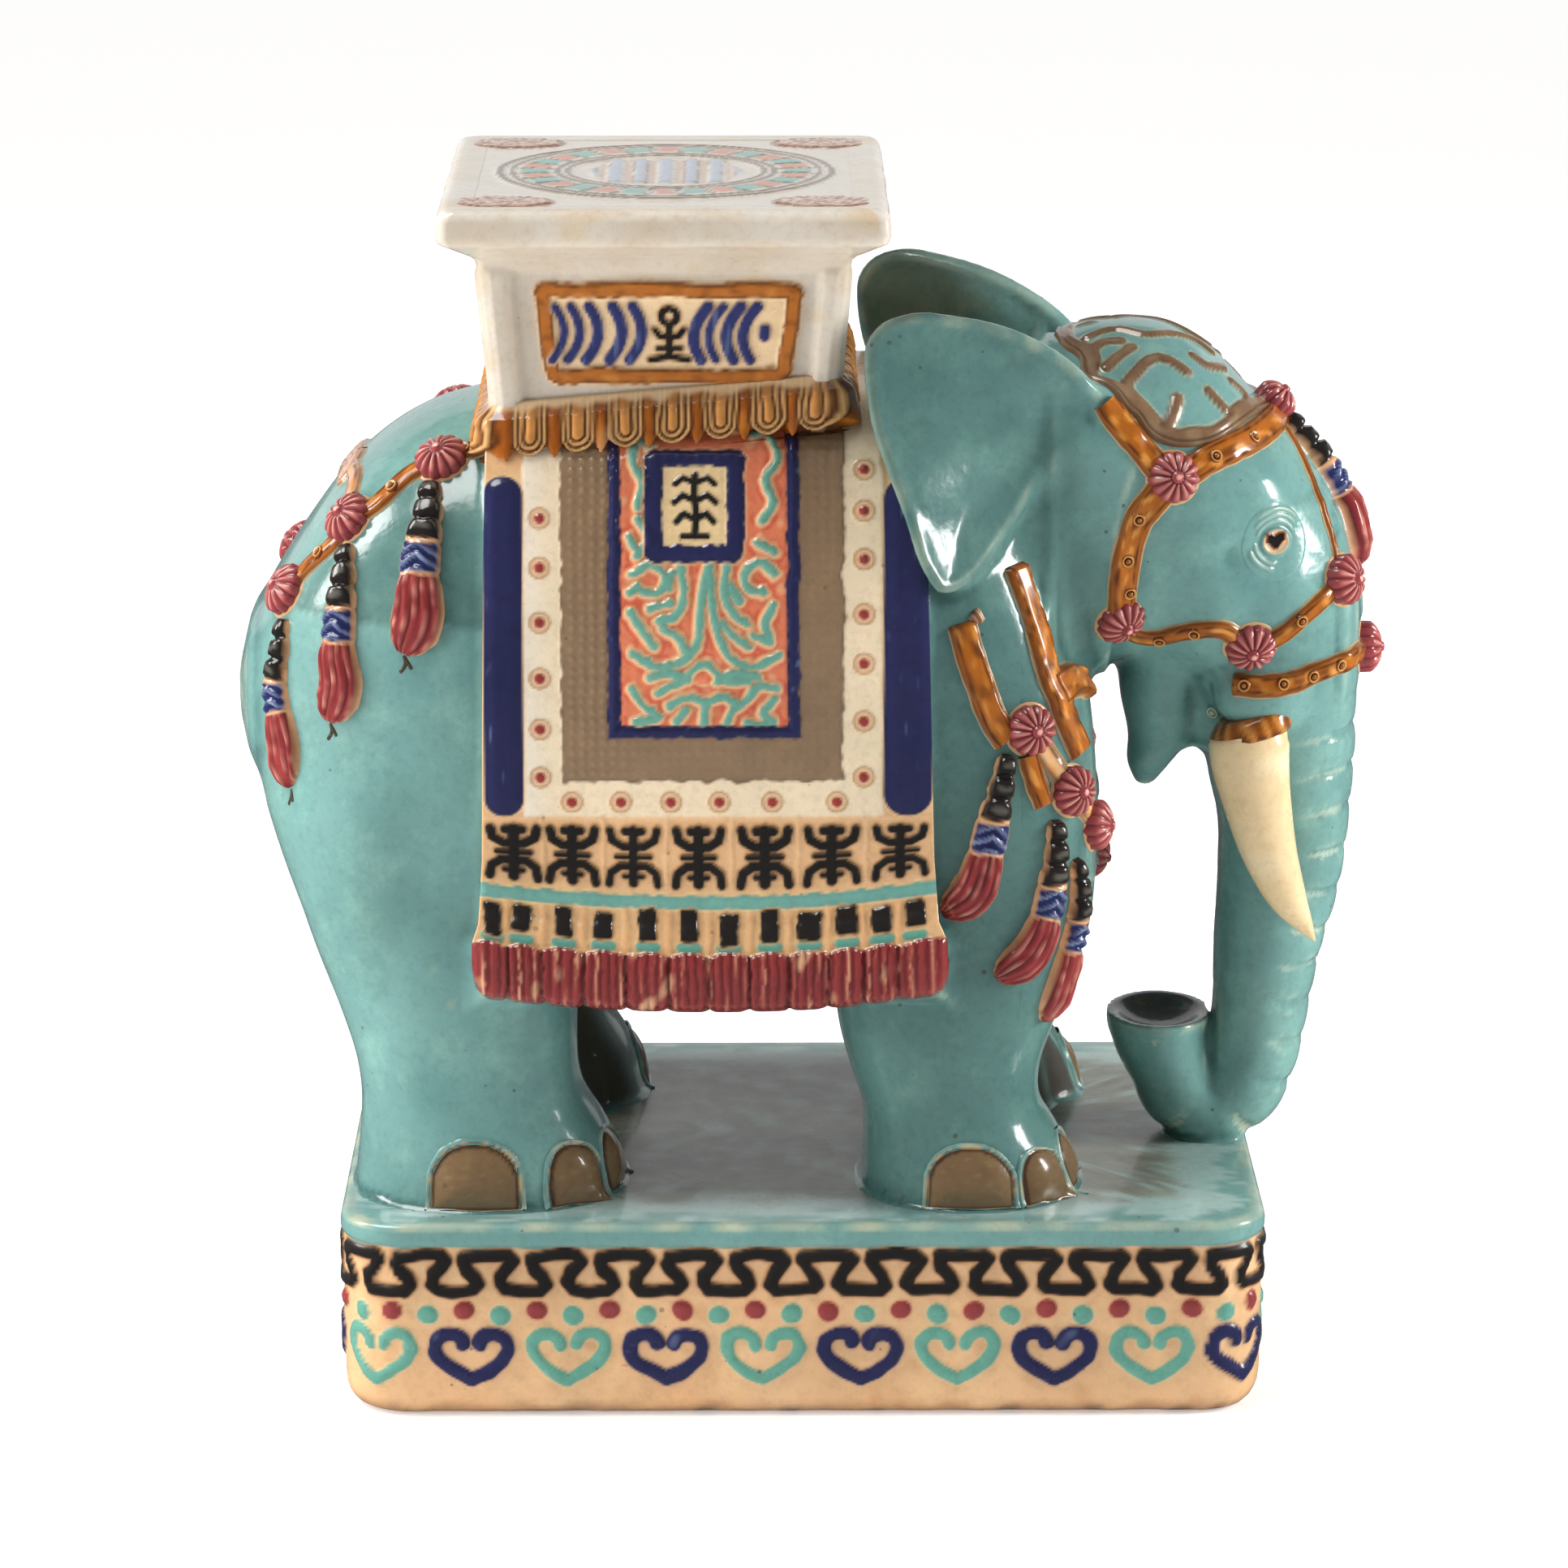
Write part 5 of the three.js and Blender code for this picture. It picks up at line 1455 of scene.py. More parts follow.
def lay(line, half, count, rows):
    """A band of points on the body along a line: points, outward ways, lengths along and shares across."""
    middle = settle(curve(line, count), 5)
    for _ in range(3):
        middle[1:-1] = (middle[:-2] + 2 * middle[1:-1] + middle[2:]) / 4
    middle = settle(middle, 2)
    side = unit(np.cross(unit(np.gradient(middle, axis=0)), slope(middle, 6)))
    share = np.sin(np.linspace(-1, 1, rows) * math.pi / 2)
    half = np.broadcast_to(half, (count,))
    points = settle(middle[:, None] + side[:, None] * share[None, :, None] * half[:, None, None], 4)
    return points, slope(points, 4), running(middle), share


def strap(piece, line, half, rise, colour=OCHRE, free=(False, False), mirror=True, seed=51):
    """A flat glazed strap with darker edges and a thin cream line where it meets the body.
    Its free ends slope down to the body, and the others run under something."""
    total = half + 1.9
    sunk = 1.5
    count = int(length_of(line) / 1.5) + 8
    points, out, run, share = lay(line, total, count, 20)
    r = Relief(run[:, None], share[None, :] * total, ink(198, 164, 116), 0.15)
    wob = ripple(r.a, r.b, 9, seed + 1)
    d = np.abs(r.b + 0.25 * ripple(r.a, 0 * r.b, 30, seed + 5)) + 0.22 * wob
    r.height += 2.0 * smooth(half + 1.8, half + 0.9, d) + rise * smooth(half + 0.5, half - 1.3, d) - sunk
    r.height += 0.2 * ripple(r.a, r.b, 14, seed + 6) * smooth(half, half - 2, d)
    r.patches(25, seed + 7, -0.2, 0.8, line_at(d, half + 1.3, 1.5, 0.2) * 0.7, TURQUOISE)
    r.tint(smooth(half + 0.6, half, d), colour, 0.03)
    r.tint(line_at(d, half, 1.0, 0.3) * 0.6, OCHRE_DARK)
    r.tint(line_at(d, half - 1.7, 0.95, 0.35) * (0.75 + 0.4 * wob), ink(70, 36, 16))
    r.height -= 0.5 * line_at(d, half - 1.7, 0.8, 0.2)
    # Inside the edges: dark streaks of glaze, and bright amber patches of painted highlight.
    inner = smooth(half - 1, half - 2, d) * 0.75
    r.patches(17, seed, -0.1, 1.0, inner, OCHRE_DARK, (1, 2))
    r.patches(12, seed + 3, 0.1, 1.0, inner, ink(228, 156, 72), (1, 2))
    ends = np.ones(count)
    for loose, past in zip(free, (run, run[-1] - run)):
        if loose:
            ends *= smooth(0.3, 2.5, past)
    piece.sheet(points, out, r, (r.height + sunk) * ends[:, None] - sunk, mirror=mirror)


def ring_on(at, count):
    """The body's outward way at a point, and angles with the ways along the body, all round it."""
    normal = slope(at, 8)
    side = unit(np.cross(normal, [0.1, 0.2, 1.0]))
    angle = np.linspace(0, 2 * math.pi, count, endpoint=False)
    turn = angle[:, None, None]
    return normal, angle, side * np.cos(turn) + np.cross(side, normal) * np.sin(turn)


def boss(piece, at, rows, flutes=0, depth=0.0, count=40, mirror=True):
    """A round boss on the body. Rows are radius, height and colour, from its middle out."""
    normal, angle, ring = ring_on(at, count)
    radius, height = (np.array([row[k] for row in rows])[None, :] for k in (0, 1))
    colour = np.tile(np.array([row[2] for row in rows]), (count, 1, 1))
    if flutes:
        wave = 2 * np.abs(np.sin(angle * flutes / 2))[:, None] - 1
        far = radius / radius.max()
        fluted = smooth(0.2, 0.45, far)
        height = height - depth * (0.5 - 0.5 * wave) * fluted * (far < 0.999)
        radius = radius * (1 - 0.04 * (1 - wave) * fluted)
        streak = 0.5 + 0.5 * np.sin(angle * 5 + at.sum())[:, None]
        pale = smooth(0.72, 0.98, wave) * fluted * smooth(1.02, 0.8, far)
        colour += (MAROON_PALE - colour) * (pale * (0.3 + 0.45 * streak))[..., None]
        colour += (MAROON_DARK - colour) * (smooth(-0.2, -0.85, wave) * fluted * 0.7)[..., None]
    points = at + ring * radius[..., None] + normal * height[..., None]
    piece.grid(points, colour, 0.05, np.broadcast_to(normal, points.shape), wrap=True, mirror=mirror)


def halo(piece, at, inner, outer, colour, mirror):
    """A thin line of bare glaze round a boss."""
    _, _, ring = ring_on(at, 40)
    heights = np.array([0.6, 0.6, 0.5, 0.2, -0.9])
    radius = np.linspace(inner, outer, len(heights))
    points = settle(at + ring * radius[None, :, None], 3)
    out = slope(points, 4)
    piece.grid(points + out * heights[None, :, None], colour, 0.2, out, wrap=True, mirror=mirror)


def rosette(piece, at, size, mirror=True):
    """A fluted boss with a small button in a groove at its middle."""
    share = np.array([
        0, 0.07, 0.14, 0.19, 0.23, 0.26, 0.33, 0.42, 0.52, 0.62, 0.72, 0.82, 0.9, 0.96, 1.0, 1.01, 1.0,
    ])
    groove = 0.26
    height = 1.5 + 8.0 * np.sqrt(1 - (0.95 * np.minimum(share, 1)) ** 2)
    height += 0.9 * np.sqrt(np.clip(1 - (share / 0.22) ** 2, 0, 1))
    height -= 0.9 * line_at(share, groove, 0.1, 0.02)
    height[-2:] = [0.6, -5.0]
    colours = [MAROON_PALE] * 2 + [ROSE if s != groove else MAROON_DARK for s in share[2:]]
    rows = list(zip(size * share, height, colours))
    rows[0] = (0.05,) + rows[0][1:]
    boss(piece, at, rows, 13, 1.7, 65, mirror)
    halo(piece, at, size * 0.9, size + 1.7, ink(206, 164, 118), mirror)


def stud(piece, at):
    """A small ring with a bead in it, on a strap."""
    size = 3.1
    dark = ink(58, 32, 16)
    rows = [
        (0.05, 4.7, OCHRE), (0.3, 4.5, OCHRE), (0.42, 3.5, dark), (0.56, 3.2, dark),
        (0.76, 4.1, ink(222, 164, 92)), (0.92, 3.9, OCHRE), (1.05, 2.6, dark), (1.16, 1.0, dark),
    ]
    boss(piece, at, [(size * r, h, c) for r, h, c in rows], count=16)


# A tassel's half-width and thickness at shares of its length.
TASSEL_HALF = [
    (0.0, 2.6), (0.04, 4.2), (0.09, 4.8), (0.12, 4.2), (0.17, 5.6), (0.22, 5.8), (0.25, 5.0),
    (0.3, 6.6), (0.35, 7.0), (0.37, 6.4), (0.4, 7.4), (0.52, 7.8), (0.55, 7.2), (0.6, 8.4),
    (0.75, 9.8), (0.86, 9.6), (0.94, 7.0), (0.98, 4.0), (1.0, 1.4),
]
TASSEL_BACK = [
    (0.0, 3.4), (0.06, 5.6), (0.3, 7.2), (0.4, 6.4), (0.55, 6.4), (0.62, 7.4), (0.85, 7.2),
    (0.95, 4.6), (1.0, 1.0),
]


def tassel(piece, line, wide, thick, seed, mirror=True, edge=0.86):
    """A tassel: a black beaded knot, blue chevrons and a maroon ribbed skirt."""
    count = int(length_of(line) / 1.15) + 4
    half = np.interp(np.linspace(0, 1, count), *zip(*TASSEL_HALF)) * wide
    border, sunk = 1.6, 1.6
    points, out, run, share = lay(line, half + border, count, 25)
    t = (run / run[-1])[:, None]
    b = share[None, :] * (half + border)[:, None]
    r = Relief(run[:, None] + 0 * b, b, BLACK, 0.04)
    q = np.abs(b) / half[:, None]
    cross = np.sqrt(np.clip(1 - np.minimum(q, 1) ** 2.8, 0, 1))
    r.height = np.where(q < 1, np.interp(t, *zip(*TASSEL_BACK)) * thick * cross, -sunk)
    wob = ripple(r.a, b, 8, seed)
    tt = t + 0.008 * wob
    bead = np.abs(np.sin(tt * math.pi / 0.12))
    knot = smooth(0.37, 0.355, tt)
    r.height -= knot * 3.0 * smooth(0.6, 0.05, bead) * cross
    # Painted glint: a grey sheen on the crown of each bead of the knot.
    r.tint(knot * smooth(0.85, 1.0, bead) * smooth(0.7, 0.3, q) * 0.25, ink(150, 146, 136))
    chevron = np.cos((r.a - np.abs(b) * 0.6) * 2 * math.pi / 5.4 + 0.6 * wob)
    middle = smooth(0.375, 0.39, tt) * smooth(0.55, 0.535, tt)
    r.tint(smooth(0.355, 0.365, tt) * smooth(0.575, 0.56, tt), ink(222, 170, 126))
    r.tint(middle, ink(34, 42, 92))
    r.tint(middle * smooth(0.2, 0.8, chevron) * (0.5 + 0.3 * wob), ink(136, 150, 178))
    r.height += middle * 1.2 * chevron * cross
    skirt = smooth(0.55, 0.565, tt)
    rib = np.cos((b / half[:, None] * 9.0 + 0.5 * np.sin(t * 9)) * 2 * math.pi / 3.3)
    r.tint(skirt, ink(138, 50, 52), 0.02)
    r.tint(skirt * smooth(0.55, 0.98, rib) * (0.35 + 0.4 * wob), ink(222, 150, 132))
    r.tint(skirt * smooth(-0.3, -0.9, rib) * 0.8, MAROON_DARK)
    r.height += skirt * 1.1 * rib * cross
    r.tint(smooth(edge, 0.99, q), ink(218, 168, 124), 0.1)
    r.tint(smooth(0.985, 1.0, t) * 0.7, MAROON_DARK)
    ends = smooth(0.0, 0.015, t) * smooth(1.0, 0.99, t)
    piece.sheet(points, out, r, (r.height + sunk) * ends - sunk, mirror=mirror)


def hair(piece, line):
    """A thin dark trail of glaze under a tassel."""
    points, out, run, share = lay(line, 1.2, int(length_of(line) / 1.2) + 6, 7)
    ends = smooth(0, 2, np.minimum(run, run[-1] - run))
    height = 1.3 * np.sqrt(1 - share ** 2)[None, :] * ends[:, None] - 0.8
    piece.grid(points + out * height[..., None], ink(70, 64, 50), 0.1, out, mirror=True)


# Places in the photograph, in pixels, for what lies on the near side.
RUMP = {
    "strap": [
        (600, 549), (572, 558), (545, 567), (510, 583), (462, 625), (433, 641), (417, 666), (380, 700),
        (356, 728),
    ],
    "rosettes": [(545, 567), (433, 641), (356, 728)],
    "tassels": [
        [(533, 595), (528, 635), (519, 687), (517, 721), (514, 766), (497, 807)],
        [(430, 671), (426, 714), (421, 762), (419, 807), (421, 845), (407, 890)],
        [(352, 762), (348, 800), (343, 848), (350, 893), (355, 935), (359, 971)],
    ],
    "studs": [(573, 557), (487, 604), (399, 684)],
    "flap": [(433, 614), (438, 590), (430, 562)],
}
HEAD_HARNESS = {
    "straps": [
        [
            (1361, 496), (1376, 516), (1400, 545), (1444, 586), (1494, 563), (1540, 541), (1566, 522),
            (1588, 497),
        ],
        [(1444, 586), (1424, 612), (1403, 637), (1392, 664), (1387, 689), (1383, 722), (1379, 761)],
        [
            (1379, 761), (1398, 780), (1428, 784), (1473, 775), (1505, 774), (1540, 795), (1576, 784),
            (1606, 758), (1629, 738), (1653, 714),
        ],
    ],
    "rosettes": [(1444, 588), (1379, 761), (1540, 794), (1653, 714)],
    "studs": [
        (1494, 564), (1540, 542), (1403, 637), (1387, 689), (1429, 783), (1473, 776), (1600, 762),
        (1390, 726),
    ],
    "brow": [(1583, 527), (1600, 556), (1614, 587), (1626, 616), (1633, 639), (1640, 660), (1646, 690)],
    "nose": [(1516, 843), (1559, 846), (1596, 839), (1629, 824), (1662, 811)],
    "nose_studs": [(1535, 845), (1578, 843), (1613, 831), (1646, 817)],
}
CHEST = {
    "straps": [
        [(1184, 765), (1196, 812), (1212, 856), (1228, 895), (1243, 915)],
        [(1247, 694), (1258, 724), (1270, 756), (1289, 825), (1312, 886), (1330, 930)],
        [(1267, 930), (1276, 962), (1287, 996)],
    ],
    "rosettes": [(1268, 899), (1320, 974), (1347, 1016)],
    "tassels": [
        [(1241, 928), (1234, 966), (1220, 1027), (1213, 1058), (1197, 1100), (1159, 1127)],
        [(1299, 1008), (1298, 1054), (1293, 1096), (1287, 1127), (1266, 1173), (1226, 1207)],
        [(1324, 1056), (1326, 1100), (1322, 1138), (1314, 1169), (1300, 1215), (1282, 1259)],
    ],
    "knot": [(1296, 852), (1310, 841), (1324, 838), (1334, 842)],
    "cap": [(1194, 752), (1202, 760), (1208, 772)],
    "web": [(1268, 899), (1292, 934), (1320, 974), (1347, 1016)],
}


def harness_rump(straps, rounds, tassels):
    """The rump's strap with its rosettes and tassels. The far one lies a little lower."""
    far, lower = np.array([1, -1, 1]), np.array([2.5, 0, -7.0])
    line = cast(RUMP["strap"])
    strap(straps, line, 4.6, 2.4, seed=71, mirror=False)
    strap(straps, settle((line + lower) * far), 4.6, 2.4, seed=73, mirror=False)
    flap = np.vstack([cast(RUMP["flap"]), [[-217, -24, 424], [-212, 0, 430]]])
    strap(straps, flap, 4.0, 2.0, ink(214, 164, 132), seed=75)
    for pixel in RUMP["rosettes"]:
        at = cast_one(pixel)
        rosette(rounds, at, 12.2, mirror=False)
        rosette(rounds, settle((at + lower) * far), 12.0, mirror=False)
    for pixel in RUMP["studs"]:
        stud(straps, cast_one(pixel))
    sizes = [(1.24, 1.1, 81), (1.1, 1.05, 82), (0.98, 0.95, 83)]
    for pixels, (wide, thick, seed) in zip(RUMP["tassels"], sizes):
        tassel(tassels, cast(pixels), wide, thick, seed)
        tip = cast_one(pixels[-1])
        hair(tassels, tip + np.array([[0, 0, 1], [1.5, 0, -4], [-2.0, 0, -9]]))
        hair(tassels, tip + np.array([[0, 0, 0], [3.5, 0, -5], [5.0, 0, -7.5]]))


def harness_head(straps, rounds, tassels):
    """The straps of the head, with a rosette and a tassel on the forehead and a strap over the trunk."""
    for pixels, half, seed in zip(HEAD_HARNESS["straps"], (6.2, 6.6, 4.2), (91, 95, 99)):
        strap(straps, cast(pixels), half, 2.6, seed=seed)
    for pixel in HEAD_HARNESS["rosettes"]:
        rosette(rounds, cast_one(pixel), 11.8)
    for pixel in HEAD_HARNESS["studs"]:
        stud(straps, cast_one(pixel))
    strap(straps, cast(HEAD_HARNESS["brow"]), 1.7, 1.4, seed=103)
    nose = np.vstack([cast(HEAD_HARNESS["nose"]), [[262, 0, 330]]])
    strap(straps, nose, 4.8, 2.6, free=(True, False), seed=107)
    for pixel in HEAD_HARNESS["nose_studs"]:
        stud(straps, cast_one(pixel))
    rosette(rounds, settle([222, 0, 450]) + [1.5, 0, 1.5], 10.0, mirror=False)
    rosette(rounds, settle([262, 0, 329]) + [1.5, 0, 0], 12.0, mirror=False)
    brow = [[226, 0, 442], [238, 0, 427], [248, 0, 408], [255, 0, 388], [258, 0, 367]]
    tassel(tassels, brow, 1.05, 1.4, 113, mirror=False, edge=0.965)


def harness_chest(straps, rounds, tassels):
    """The chest's two straps, which meet at a knot, with rosettes and tassels below."""
    sizes = [(6.0, 2.8, True, 121), (6.6, 3.6, True, 125), (4.6, 2.4, False, 129)]
    for pixels, (half, rise, loose, seed) in zip(CHEST["straps"], sizes):
        strap(straps, cast(pixels), half, rise, free=(loose, True), seed=seed)
    for pixel in CHEST["rosettes"]:
        rosette(rounds, cast_one(pixel), 11.6)
    rosette(rounds, settle([136, 0, 229]), 11.0, mirror=False)
    for pixels, wide, seed in zip(CHEST["tassels"], (1.08, 1.02, 0.9), (131, 132, 133)):
        tassel(tassels, cast(pixels), wide, 1.1, seed)
    strap(straps, cast(CHEST["knot"]), 8.0, 4.6, free=(True, True), seed=137)
    strap(straps, cast(CHEST["cap"]), 2.2, 1.6, ink(212, 168, 136), free=(True, True), seed=139)
    strap(straps, cast(CHEST["web"]), 5.0, 1.2, ink(214, 168, 122), seed=141)


def build_harness():
    straps, rounds, tassels = Piece(), Piece(), Piece()
    for part in (harness_rump, harness_head, harness_chest):
        part(straps, rounds, tassels)
    straps.build("straps", PAINTED, "ochre_glaze")
    rounds.build("rosettes", PAINTED, "maroon_glaze")
    tassels.build("tassels", PAINTED, "maroon_glaze")


LIP_STUD = (1496, 876)
# The band round a tusk's root: heights, and how far it stands off the tusk.
TUSK_BAND = [
    (306.5, -6.0), (306, -1.6), (305, 0.4), (303.4, 1.0), (301, 1.2), (298.6, 1.1), (296.6, 0.8),
    (295.4, 0.2), (295.0, -1.6),
]


def tusk_stations():
    s = curve(TUSK, 70)
    return s[s[:, 2] < 306]


def build_tusks():
    s = tusk_stations()
    way = unit(np.gradient(s[:, :3], axis=0))
    side = unit(np.array([0, 1.0, 0]) - way * way[:, 1:2])
    ahead = np.cross(way, side)
    around = 36
    angle = np.linspace(0, 2 * math.pi, around, endpoint=False)[:, None, None]
    wide, deep = s[None, :, 3:4], s[None, :, 4:5]
    points = s[None, :, :3] + side * np.cos(angle) * wide + ahead * np.sin(angle) * deep
    # The root ends on the slant under its band, and the tip is closed.
    points[..., 2] = np.minimum(points[..., 2], 300.5 + 0.26 * (points[..., 0] - 208))
    points = np.concatenate([points, np.broadcast_to(s[-1:, :3] + way[-1:] * 0.5, (around, 1, 3))], 1)
    run = np.linspace(0, 120, points.shape[1])[None, :]
    r = Relief(np.arange(around)[:, None] * 2.2, run, IVORY, 0.1)
    r.patches(40, 141, 0.1, 1.3, 0.5, ink(240, 228, 196))
    r.patches(24, 142, 0.4, 1.4, 0.35, ink(206, 180, 128), (2, 1))
    out = points - np.vstack([s[:, :3], s[-1:, :3]])[None]
    piece = Piece()
    piece.grid(points, r.colour, r.matt, out, wrap=True, mirror=True)
    piece.build("tusks", PAINTED, "ivory_glaze")


def build_tusk_bands():
    """The glazed band round the root of each tusk, and a small stud on the lip."""
    s = tusk_stations()
    z, more = np.array(TUSK_BAND).T
    x, y, wide, deep = (np.interp(-z, -s[:, 2], s[:, k]) for k in (0, 1, 3, 4))
    angle = np.linspace(0, 2 * math.pi, 96, endpoint=False)[:, None]
    wrinkle = 0.2 * np.sin(angle * 13 + z * 0.5 + np.sin(angle * 5)) * smooth(-1, 1, more)
    more = more + wrinkle
    across, aside = np.cos(angle) * (deep + more), np.sin(angle) * (wide + more)
    points = np.stack([x + across, y + aside, z + 1.5 + 4.2 * np.cos(angle)], -1)
    r = Relief(angle * 14, z[None, :], OCHRE, 0.05)
    r.patches(12, 143, 0, 1.0, 0.6, OCHRE_DARK)
    r.tint(line_at(r.b, 296.2, 1.4, 0.4) * 0.8, OCHRE_DARK)
    r.tint(smooth(0.03, 0.18, wrinkle) * 0.55, ink(222, 160, 84))
    r.tint(smooth(-0.08, -0.18, wrinkle) * 0.5, ink(70, 36, 18))
    knob = [
        (0.05, 2.6, SHELL), (0.9, 2.4, SHELL), (1.6, 1.4, TURQUOISE_DEEP), (2.4, 2.2, SHELL),
        (3.2, 1.6, TURQUOISE), (4.0, -1.5, TURQUOISE),
    ]
    piece = Piece()
    boss(piece, cast_one(LIP_STUD), knob, count=20)
    out = points - np.stack([x, y, z], -1)[None]
    piece.grid(points, r.colour, r.matt, out, wrap=True, mirror=True)
    piece.build("tusk_bands", PAINTED, "ochre_glaze")


# Toes as X, Y, the way they face, half-width and height.
TOES = [
    (-150, -121, 0.0, 20, 30), (-99, -112, 0.45, 17, 29), (-84, -80, 1.15, 15, 27),
    (77, -121, 0.0, 20, 28), (117, -109, 0.6, 16.5, 27), (127, -77, 1.3, 14, 26),
]


def build_toes():
    """Toenails: domed, with a dark line round them and a low rim of clay."""
    piece = Piece()
    ground = PLINTH["height"] + 1
    for k, (x, y, turn, half, high, side) in enumerate([t + (s,) for t in TOES for s in (1, -1)]):
        sizes = np.linspace(-half - 4, half + 4, 32), np.linspace(-2.0, high + 4, 24)
        a, b = np.meshgrid(*sizes, indexing="ij")
        across = np.array([math.cos(turn), math.sin(turn), 0])
        facing = np.array([math.sin(turn), -math.cos(turn), 0])
        points = np.array([x, y, ground]) + across * a[..., None] + np.array([0, 0, 1]) * b[..., None]
        ahead = FAR_STEP if side < 0 else 0
        points = settle((points - facing * 2 + [ahead, 0, 0]) * [1, side, 1], 6)
        # A toe's outline is a rounded arch, widest at three tenths of its height.
        low = b - high * 0.3
        tall = np.where(low > 0, high * 0.7, high * 1.3)
        power = 2.3
        d = ((np.abs(a / half) ** power + np.abs(low / tall) ** power) ** (1 / power) - 1) * half * 0.85
        d = np.maximum(d, -b - 1) + 0.3 * ripple(a, b, 14, 157 + k)
        r = Relief(a, b, TURQUOISE, 0.05)
        rim, nail = smooth(3.6, 2.2, d), smooth(-2, -5, d)
        r.patches(16, 163 + k, -0.3, 0.7, rim * 0.5, SHELL)
        r.height += 3.0 * rim - 1.6 - 1.6 * smooth(1.6, 0.6, d) + 3.4 * np.sqrt(smooth(0.4, -half * 0.6, d))
        r.tint(smooth(1.3, 0.8, d), ink(196, 164, 116))
        r.tint(smooth(0.9, 0.4, d), ink(74, 52, 36), 0.1)
        r.tint(smooth(-0.9, -1.6, d), NAIL, 0.05)
        r.patches(12, 151 + k, 0, 1.2, nail * 0.4, ink(96, 78, 56))
        r.patches(8, 169 + k, 0.4, 1.3, nail * 0.35, ink(156, 134, 100), (1, 3))
        piece.sheet(points, slope(points, 4), r)
    piece.build("toes", PAINTED, "buff_glaze")


EYE = (1568, 667)
# Wrinkles round the eye, as arcs: size, and the angles where they begin and end.
EYE_FOLDS = [(11.0, 0.5, 2.6), (14.0, 0.7, 2.4), (17.0, 0.8, 2.1), (11.0, 3.3, 4.6), (14.0, 3.5, 4.5)]


def build_eyes():
    at = cast_one(EYE)
    normal = slope(at, 8)
    side = unit(np.cross([0, 0, 1.0], normal))
    up = np.cross(normal, side)
    radius = np.concatenate([np.linspace(0.02, 8, 24), np.linspace(8.6, 21, 26)])[None, :]
    angle = np.linspace(0, 2 * math.pi, 64, endpoint=False)[:, None]
    a, b = np.cos(angle) * radius, np.sin(angle) * radius
    points = settle(at + side * a[..., None] + up * b[..., None], 4)
    r = Relief(a, b, TURQUOISE, 0.0)
    r.height += 1.3 * smooth(9.0, 4.5, np.hypot(a / 1.1, b))
    almond = np.hypot(a / 1.12, b * 1.05)
    r.tint(smooth(7.0, 5.2, almond) * 0.85, ink(232, 186, 140))
    r.tint(smooth(4.9, 3.9, almond) * 0.4, ink(150, 176, 160))
    r.height += 0.6 * line_at(almond, 6.2, 1.4, 0.3)
    # The pupil is shaped like a heart.
    pupil = np.maximum(np.abs(a) * 0.86 + np.maximum(-b, 0) * 0.75, np.abs(b))
    pupil = pupil - 0.9 * smooth(0, 2.4, np.abs(a)) * (b > 0)
    r.tint(smooth(4.3, 3.5, pupil), ink(150, 84, 50))
    r.tint(smooth(3.4, 2.7, pupil), ink(28, 24, 22), 0.0)
    r.height += 0.8 * smooth(4.2, 2.4, pupil)
    for size, low, high in EYE_FOLDS:
        arc = [(size * math.cos(t), size * 0.9 * math.sin(t)) for t in np.linspace(low, high, 12)]
        d = distance(a, b, arc, 4)
        r.height += 0.9 * smooth(1.7, 0.2, d)
        r.tint(smooth(1.3, 0.3, d) * 0.3, SHELL)
    height = 0.25 + r.height * smooth(21, 15, radius) - 1.6 * smooth(17, 21, radius)
    piece = Piece()
    piece.sheet(points, slope(points, 4), r, height, wrap=True, mirror=True)
    piece.build("eyes", BODY_GLAZE, "turquoise_glaze")


# The embroidered cap on the head: its near edge, and its scrolls in pixels of the photograph.
CAP_EDGE = [
    (222, 0, 450), (213, -18, 447), (200.6, -38.2, 443), (192, -50, 440), (183.8, -57.6, 437.5),
    (167.8, -62.2, 437), (154.9, -60.9, 441), (142.2, -56.5, 450.8), (132.5, -53, 464), (125, -36, 475),
    (120, -18, 478), (118, 0, 478),
]
CAP_SCROLLS = [
    [
        (1422, 519), (1406, 500), (1387, 479), (1401, 460), (1416, 446), (1431, 443), (1446, 450),
        (1460, 460),
    ],
    [(1450, 492), (1446, 509), (1439, 526)],
    [(1363, 456), (1378, 441), (1394, 431)],
    [(1469, 441), (1484, 452), (1505, 455)],
    [(1488, 484), (1496, 494), (1507, 504)],
    [(1515, 472), (1530, 486), (1535, 500), (1520, 508)],
    [(1380, 408), (1412, 415), (1441, 413), (1471, 422), (1490, 436)],
    [(1391, 395), (1418, 393), (1446, 401)],
    [(1330, 403), (1346, 399), (1365, 396)],
    [(1340, 418), (1355, 412), (1368, 409)],
    [(1348, 431), (1361, 424), (1380, 422)],
]


def near_line(points, line, longest=20):
    """Distance from points in space to a line of points, without its pieces over `longest`."""
    best = np.full(points.shape[:-1], 1e9)
    for p0, p1 in zip(line[:-1], line[1:]):
        way = p1 - p0
        if way @ way > longest ** 2:
            continue
        t = np.clip(((points - p0) @ way) / max(way @ way, 1e-9), 0, 1)
        best = np.minimum(best, ((points - p0 - t[..., None] * way) ** 2).sum(-1))
    return np.sqrt(best)


def cap_points(edge):
    """Rows of points on the head from the cap's pole to just past its edge, and their shares of the way."""
    pole, heart = np.array([165, 0, 485.0]), np.array([166, 0, 408.0])
    share = np.concatenate([np.linspace(0.0, 0.74, 46), np.linspace(0.752, 1.03, 30)])
    top, low = pole - heart, edge - heart
    ways = top + (low[:, None, :] - top) * share[None, :, None]
    high = np.linalg.norm(top)
    size = high + (np.linalg.norm(low, axis=1)[:, None] - high) * share[None, :]
    return settle(heart + unit(ways) * (size + 2)[..., None], 7), share


